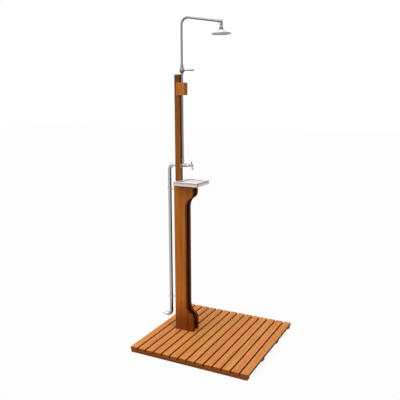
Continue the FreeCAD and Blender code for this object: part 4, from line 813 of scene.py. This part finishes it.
@dataclass
class ScrewSet:
    """Cross-recessed screw heads, all alike, set at marked places."""

    label: str
    places: Places
    head_high: float = 0.0009
    recess_deep: float = 0.0007
    head_radius: float = 0.0036
    recess_radius: float = 0.0021
    recess_waist: float = 0.0005
    sides: int = 18
    weld: float = 0.00001

    def build(self, finish: Material) -> None:
        """Sets one screw head at each place and mounts them on the frame.

        Args:
            finish: The material of the heads.
        """
        recipe = Recipe(self.label + "_recipe", radius=self.head_radius, high=self.head_high,
                        recess=self.recess_radius, waist=self.recess_waist,
                        deep=self.recess_deep, sides=self.sides, finish=finish)
        node = recipe.node
        rim = recipe.circle("radius", "sides")
        cross = node("CurveStar", {"Points": 4, "Inner Radius": "waist", "Outer Radius": "recess"})
        below = node("ShaderNodeMath", {0: "high", 1: "deep"}, operation="SUBTRACT")
        lift, drop = recipe.step("Z", "high"), recipe.step("Z", below)
        face = node("FillCurve", {"Curve": recipe.join(rim, cross)})
        pit = node("FillCurve", {"Curve": cross})
        shells = [recipe.move(face, lift), recipe.move(pit, drop)]
        for outline, foot in ((cross, drop), (rim, ORIGIN)):
            loop = node("CurveToMesh", {"Curve": recipe.move(outline, foot)})
            rise = node("ShaderNodeVectorMath", {0: lift, 1: foot}, operation="SUBTRACT")
            shells.append(node("ExtrudeMesh", {"Mesh": loop, "Offset": rise}, mode="EDGES"))
        head = node("MergeByDistance", {"Geometry": recipe.join(*shells), "Distance": self.weld})
        mount(recipe.grow_at(head, self.places, self.label), "frame")


@dataclass
class Tube:
    """A bent tube: a round section swept along straight runs with rounded corners."""

    label: str
    replaced: str
    route: Sequence[Point]
    radius: float
    bend: float = 0.0
    sides: int = 40
    bend_steps: int = 28

    def build(self, finish: Material) -> None:
        """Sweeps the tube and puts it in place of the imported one.

        Args:
            finish: The tube's finish.
        """
        recipe = Recipe(self.label + "_sweep", radius=self.radius, bend=self.bend,
                        sides=self.sides, steps=self.bend_steps, finish=finish)
        path = recipe.node("MeshToCurve", {"Mesh": "Geometry"})
        rounded = recipe.round_off(path, "bend", "steps")
        swept = recipe.sweep(rounded, recipe.circle("radius", "sides"))
        piece = recipe.grow(swept, route_mesh(self.label, self.route), self.label)
        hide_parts(self.replaced)
        mount(piece, "frame")


# ---- Sub-assemblies ----
@dataclass
class Assembly:
    """A sub-assembly of the object, which is dressed from one set of finishes."""

    finishes: Finishes


@dataclass
class Duckboard(Assembly):
    """The square board: parallel slats over four bearers."""

    slat_edge: float = 0.0025
    edge_steps: int = 4
    ease_long: float = 0.0015
    ease_share: float = 0.05
    bearer_count: int = 4
    screw_inset: float = 0.014
    screw_stand: float = 0.0003
    screw_recess: float = 0.0012

    def build(self) -> None:
        """Lays the slats and dresses what carries them."""
        rows = Rows(SLATS)
        self._lay_slats(rows)
        bearers = ["bearer_{0}".format(number + 1) for number in range(self.bearer_count)]
        dress(self.finishes.bearers, *bearers, "foot_board")
        dress(self.finishes.steel, "column_bolts")
        lines = [rows.first + rows.wide / 2 + rows.pitch * index for index in range(SLAT_COUNT)]
        places = [((middle(bearer).x, line + side * self.screw_inset, 0.0), DOWNWARD)
                  for bearer in bearers for line in lines for side in (-1, 1)]
        ScrewSet("slat_screws", places, self.screw_stand,
                 self.screw_recess).build(self.finishes.steel)

    def _lay_slats(self, rows: Rows) -> None:
        """Grows the row of slats, each with rounded edges, eased ends and its own number.

        Args:
            rows: Where the slats lie.
        """
        low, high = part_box(SLATS[0])
        recipe = Recipe("slat_row", count=SLAT_COUNT, pitch=rows.pitch, wide=rows.wide,
                        thick=high.z - low.z, edge=self.slat_edge, ease=self.ease_share,
                        finish=self.finishes.slats)
        node = recipe.node
        line = node("MeshToCurve", {"Mesh": "Geometry"})
        ends = node("CurveEndpointSelection", {"Start Size": 1, "End Size": 1})
        slim = node("ShaderNodeMath", {0: 1.0, 1: "ease"}, operation="SUBTRACT")
        eased = node("SetCurveRadius", {"Curve": line, "Selection": ends, "Radius": slim})
        section = node("CurvePrimitiveQuadrilateral", {"Width": "wide", "Height": "thick"})
        rounded = recipe.round_off(section, "edge", self.edge_steps)
        row = node("MeshLine", {"Count": "count", "Offset": recipe.step("Y", "pitch")})
        slat = recipe.sweep(eased, rounded)
        spread = node("InstanceOnPoints", {"Points": row, "Instance": slat})
        number = {"Geometry": spread, "Name": "board", "Value": node("InputIndex")}
        numbered = node("StoreNamedAttribute", number, data_type="FLOAT", domain="INSTANCE")
        centre = middle(SLATS[0])
        reaches = (low.x, low.x + self.ease_long, high.x - self.ease_long, high.x)
        route = route_mesh("slat_line", [(x, centre.y, centre.z) for x in reaches])
        piece = recipe.grow(numbered, route, "deck_slats")
        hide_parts(*SLATS)
        mount(piece, "frame")


@dataclass
class TimberColumn(Assembly):
    """The centre post between two cheeks, with ogee feet and brackets, and the pipe block."""

    screw_from_back: float = 0.010
    screw_from_end: float = 0.021
    screw_stand: float = 0.0005

    def build(self) -> None:
        """Dresses the column and screws the pipe block on."""
        for label, wood in self.finishes.column.items():
            dress(wood, label)
        low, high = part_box("pipe_block")
        places = [((side, high.y - self.screw_from_back, height),
                   (math.copysign(1.0, side), 0.0, 0.0))
                  for side in (low.x, high.x)
                  for height in (low.z + self.screw_from_end, high.z - self.screw_from_end)]
        ScrewSet("pipe_block_screws", places, self.screw_stand).build(self.finishes.bronze)


class SoapTray(Assembly):
    """The pressed steel tray."""

    def build(self) -> None:
        """Dresses the tray and adds its two screws beside the post."""
        dress(self.finishes.tray, "soap_tray")
        _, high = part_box("soap_tray")
        post_low, post_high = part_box("core_post")
        behind = (post_low.y + high.y) / 2
        across = (post_high.x + high.x) / 2
        places = [((side * across, behind, high.z), UPWARD) for side in (-1.0, 1.0)]
        ScrewSet("tray_screws", places).build(self.finishes.steel)


@dataclass
class WaterInlet(Assembly):
    """The hose union, the inlet elbow and the pipe up the back of the column."""

    pipe_bend: float = 0.040
    clip_thick: float = 0.004
    clip_screw_rise: float = 0.015
    barb_count: int = 4
    barb_pitch: float = 0.0042
    barb_thick: float = 0.0007
    barb_sides: int = 36
    barb_section_sides: int = 8

    def build(self) -> None:
        """Dresses the fittings, sweeps the pipe and adds clip screws and spigot barbs."""
        low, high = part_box("supply_pipe")
        radius = (high.x - low.x) / 2
        back, top = high.y - radius, high.z - radius
        route = [(0.0, back, low.z), (0.0, back, top), (0.0, low.y, top)]
        Tube("supply_tube", "supply_pipe", route, radius,
             self.pipe_bend).build(self.finishes.pipe_chrome)
        clips = ("clip_low", "clip_high")
        dress(self.finishes.chrome, "inlet_elbow", "hose_spigot", "hose_nut", "rear_flange",
              *clips)
        dress(self.finishes.brass, "through_nipple")
        places = []
        for clip in clips:
            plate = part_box(clip)[0].y + self.clip_thick
            places += [((0.0, plate, middle(clip).z + side * self.clip_screw_rise), BACKWARD)
                       for side in (-1.0, 1.0)]
        ScrewSet("clip_screws", places).build(self.finishes.steel)
        self._barb_spigot()

    def _barb_spigot(self) -> None:
        """Sets the rounded barbs that hold the hose on its spigot."""
        _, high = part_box("hose_spigot")
        spigot = next(row for row in frame["record"]["mounts"] if row["name"] == "hose_spigot")
        radius = spigot["dims"]["r_mm"] * MILLIMETRE - self.barb_thick / 3
        places = [((0.0, high.y - self.barb_pitch * (number + 1), middle("hose_spigot").z),
                   BACKWARD) for number in range(self.barb_count)]
        recipe = Recipe("spigot_barbs_recipe", radius=radius, thick=self.barb_thick,
                        sides=self.barb_sides, section_sides=self.barb_section_sides,
                        finish=self.finishes.chrome)
        ring = recipe.sweep(recipe.circle("radius", "sides"),
                            recipe.circle("thick", "section_sides"), capped=False)
        mount(recipe.grow_at(ring, places, "spigot_barbs"), "frame")


class Tap(Assembly):
    """The tap above the tray, with its turning handle."""

    def build(self) -> None:
        """Dresses the tap, and its spindle in brass."""
        dress(self.finishes.tap_chrome, "front_flange", "tap_body", "tap_bonnet", "tap_handle",
              "handle_cap", "riser_nut")
        dress(self.finishes.brass, "tap_spindle")


class OverheadValve(Assembly):
    """The ball-shaped lever valve above the post."""

    def build(self) -> None:
        """Dresses the valve, and its lever's pin in brass."""
        dress(self.finishes.arm_chrome, "valve_body", "valve_lever", "lever_skirt",
              "valve_collar")
        dress(self.finishes.brass, "lever_pin")


@dataclass
class ShowerArm(Assembly):
    """The riser, the gooseneck and the tilting head."""

    bend_radius: float = 0.046
    slope: float = math.radians(9.7)
    elbow_stop: float = 0.009
    head_tilt: float = math.radians(1.5)
    head_drop: float = 0.037
    nozzle_high: float = 0.0012
    bore_radius: float = 0.0008
    bore_stand: float = 0.00005
    bore_sides: int = 12
    ring_pitch: float = 0.01602
    ring_count: int = 3
    first_ring: int = 6
    rib_count: int = 28
    rib_thick: float = 0.0006
    rib_sides: int = 8
    rib_top: float = 0.0045
    rib_foot: float = -0.0065

    def __post_init__(self) -> None:
        """Finds the ball's centre in the seat's joint, and the head's place at rest."""
        joint = next(row for row in frame["joints"] if row["child"] == "seat")
        self.ball = Vector(joint["pos_m"])
        self.head_place = (Matrix.Translation(self.ball)
                           @ Matrix.Rotation(-self.head_tilt, 4, "X"))

    def build(self) -> None:
        """Sweeps the tubes, dresses the head and adds its fine parts."""
        chrome = self.finishes.arm_chrome
        low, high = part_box("riser_pipe")
        radius = (high.x - low.x) / 2
        riser_y = middle("riser_pipe").y
        riser = [(0.0, riser_y, low.z), (0.0, riser_y, high.z)]
        Tube("riser_tube", "riser_pipe", riser, radius).build(chrome)
        Tube("gooseneck_tube", "shower_arm", self._arm_route(riser_y, radius), radius,
             self.bend_radius).build(chrome)
        dress(chrome, "arm_elbow", "ball_stud", "swivel_nut")
        dress(self.finishes.head, "head_shell")
        dress(self.finishes.rubber, "spray_face")
        dress(self.finishes.seat, "ball_seat")
        self._bore_nozzles()
        self._rib_nut()

    def _arm_route(self, riser_y: float, radius: float) -> list[Point]:
        """Works out the corner points of the arm from its bend and its slope.

        Args:
            riser_y: Where the riser stands.
            radius: The tube's radius.

        Returns:
            The arm's foot, its corner and its end in the elbow.
        """
        low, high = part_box("shower_arm")
        bend_start = high.z - radius - self.bend_radius
        corner = bend_start + self.bend_radius * math.tan((math.pi / 2 + self.slope) / 2)
        run = riser_y - self.ball.y - self.elbow_stop * math.cos(self.slope)
        end = (0.0, riser_y - run, corner - run * math.tan(self.slope))
        return [(0.0, riser_y, low.z), (0.0, riser_y, corner), end]

    def _bore_nozzles(self) -> None:
        """Sets a dark disc in the tip of every nozzle: painted shade that stands for its bore."""
        down = tuple(self.head_place.to_3x3() @ Vector(DOWNWARD))
        places = []
        for ring in range(1, self.ring_count + 1):
            for step in range(self.first_ring * ring):
                angle = 2 * math.pi * step / (self.first_ring * ring)
                spot = Vector((self.ring_pitch * ring * math.cos(angle),
                               self.ring_pitch * ring * math.sin(angle),
                               -self.head_drop - self.nozzle_high))
                places.append((tuple(self.head_place @ spot), down))
        recipe = Recipe("nozzle_bore_recipe", radius=self.bore_radius, stand=self.bore_stand,
                        sides=self.bore_sides, finish=self.finishes.bore)
        face = recipe.node("FillCurve", {"Curve": recipe.circle("radius", "sides")})
        disc = recipe.move(face, recipe.step("Z", "stand"))
        mount(recipe.grow_at(disc, places, "nozzle_bores"), "head")

    def _rib_nut(self) -> None:
        """Sets the upright grip ribs round the swivel nut."""
        low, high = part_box("swivel_nut")
        recipe = Recipe("nut_rib_recipe", count=self.rib_count, radius=(high.x - low.x) / 2,
                        thick=self.rib_thick, sides=self.rib_sides, top=self.rib_top,
                        foot=self.rib_foot, finish=self.finishes.arm_chrome)
        line = recipe.node("CurvePrimitiveLine", {"Start": recipe.step("Z", "foot"),
                                                  "End": recipe.step("Z", "top")})
        rib = recipe.sweep(line, recipe.circle("thick", "sides"))
        hoop = recipe.node("MeshCircle", {"Vertices": "count", "Radius": "radius"})
        spread = recipe.node("InstanceOnPoints", {"Points": hoop, "Instance": rib})
        piece = recipe.grow(spread, bpy.data.meshes.new("rib_seed"), "nut_ribs")
        piece.data.transform(self.head_place)
        mount(piece, "head")


# ---- Studio ----
@dataclass(frozen=True)
class Softbox:
    """A broad, far lamp: where its light goes, how bright it is and how wide it looks."""

    name: str
    aim: Point
    level: float
    width: float

    def hang(self) -> None:
        """Hangs the lamp. A level of 1 lights a face that is square to it fully."""
        lamp = bpy.data.lights.new(self.name, "SUN")
        lamp.energy = self.level * math.pi
        lamp.angle = math.radians(self.width)
        holder = bpy.data.objects.new(self.name, lamp)
        holder.rotation_mode = "QUATERNION"
        holder.rotation_quaternion = Vector(self.aim).to_track_quat("-Z", "Y")
        bpy.context.scene.collection.objects.link(holder)


@dataclass
class Studio:
    """A plain pale floor, soft light and the camera at the photograph's viewpoint."""

    camera_place: Point = (-3.300, -1.567, 1.745)
    yaw: float = math.radians(62.94)
    pitch: float = math.radians(-10.58)
    roll: float = math.radians(-0.22)
    focal_pixels: float = 519.98
    frame_pixels: float = 400.0
    sensor: float = 36.0
    floor_half: float = 30.0
    floor_seen: str = "#F4F4F3"
    floor_lit: str = "#A3A3A2"
    floor_glow: float = 0.88
    floor_roughness: float = 0.9
    floor_gloss: float = 0.1
    sky: float = 0.30
    boxes: Sequence[Softbox] = (Softbox("top_softbox", (0.30, -0.12, -1.0), 0.62, 65.0),
                                Softbox("left_softbox", (1.0, -0.42, -0.5), 0.23, 50.0))

    def build(self) -> None:
        """Makes the floor, the lights and the camera."""
        self._floor()
        self._world()
        for softbox in self.boxes:
            softbox.hang()
        self._camera()
        bpy.context.scene.view_settings.view_transform = "Standard"

    def _floor(self) -> None:
        """Lays a floor that looks white to the eye, keeps the shadow and lights softly."""
        half = self.floor_half
        mesh = bpy.data.meshes.new("studio_floor")
        mesh.from_pydata([(-half, -half, 0.0), (half, -half, 0.0), (half, half, 0.0),
                          (-half, half, 0.0)], [], [(0, 1, 2, 3)])
        floor = bpy.data.objects.new("studio_floor", mesh)
        bpy.context.scene.collection.objects.link(floor)
        paper = Coat("floor_paper")
        seen = paper.seen()
        paper.colour = linear(self.floor_lit)
        paper.cover(seen, self.floor_seen)
        mesh.materials.append(paper.finish(Roughness=self.floor_roughness,
                                           Specular_IOR_Level=self.floor_gloss))
        glow = add(paper.tree, "ShaderNodeEmission", {"Color": WHITE, "Strength": 1.0})
        share = paper.calc("MULTIPLY", seen, self.floor_glow)
        mixed = add(paper.tree, "ShaderNodeMixShader", {0: share, 1: paper.shader.outputs[0],
                                                        2: glow.outputs[0]})
        feed(paper.tree.nodes["Material Output"], {"Surface": mixed.outputs[0]})

    def _world(self) -> None:
        """Makes a white surround for the eye and for reflections, and softer light."""
        world = bpy.data.worlds.new("studio")
        world.use_nodes = True
        painter = Painter(world.node_tree)
        level = painter.span(painter.seen(), 0.0, 1.0, self.sky, 1.0)
        feed(painter.tree.nodes["Background"], {"Color": WHITE, "Strength": level})
        bpy.context.scene.world = world

    def _camera(self) -> None:
        """Places the camera from its measured position, turn and focal length."""
        ahead = Vector((math.cos(self.pitch) * math.sin(self.yaw),
                        math.cos(self.pitch) * math.cos(self.yaw), math.sin(self.pitch)))
        level = Vector((math.cos(self.yaw), -math.sin(self.yaw), 0.0))
        above = level.cross(ahead)
        right = math.cos(self.roll) * level + math.sin(self.roll) * above
        up = math.cos(self.roll) * above - math.sin(self.roll) * level
        data = bpy.data.cameras.new("camera")
        data.sensor_width = self.sensor
        data.lens = self.sensor * self.focal_pixels / self.frame_pixels
        camera = bpy.data.objects.new("camera", data)
        turn = Matrix((right, up, -ahead)).transposed().to_4x4()
        camera.matrix_world = Matrix.Translation(self.camera_place) @ turn
        bpy.context.scene.collection.objects.link(camera)
        bpy.context.scene.camera = camera


def main() -> None:
    """Dresses every sub-assembly, from the ground up, and lights the object."""
    logging.basicConfig(level=logging.INFO, format="%(message)s")
    finishes = Finishes()
    for assembly in (Duckboard, TimberColumn, SoapTray, WaterInlet, Tap, OverheadValve,
                     ShowerArm):
        assembly(finishes).build()
    Studio().build()


if __name__ == "__main__":
    main()
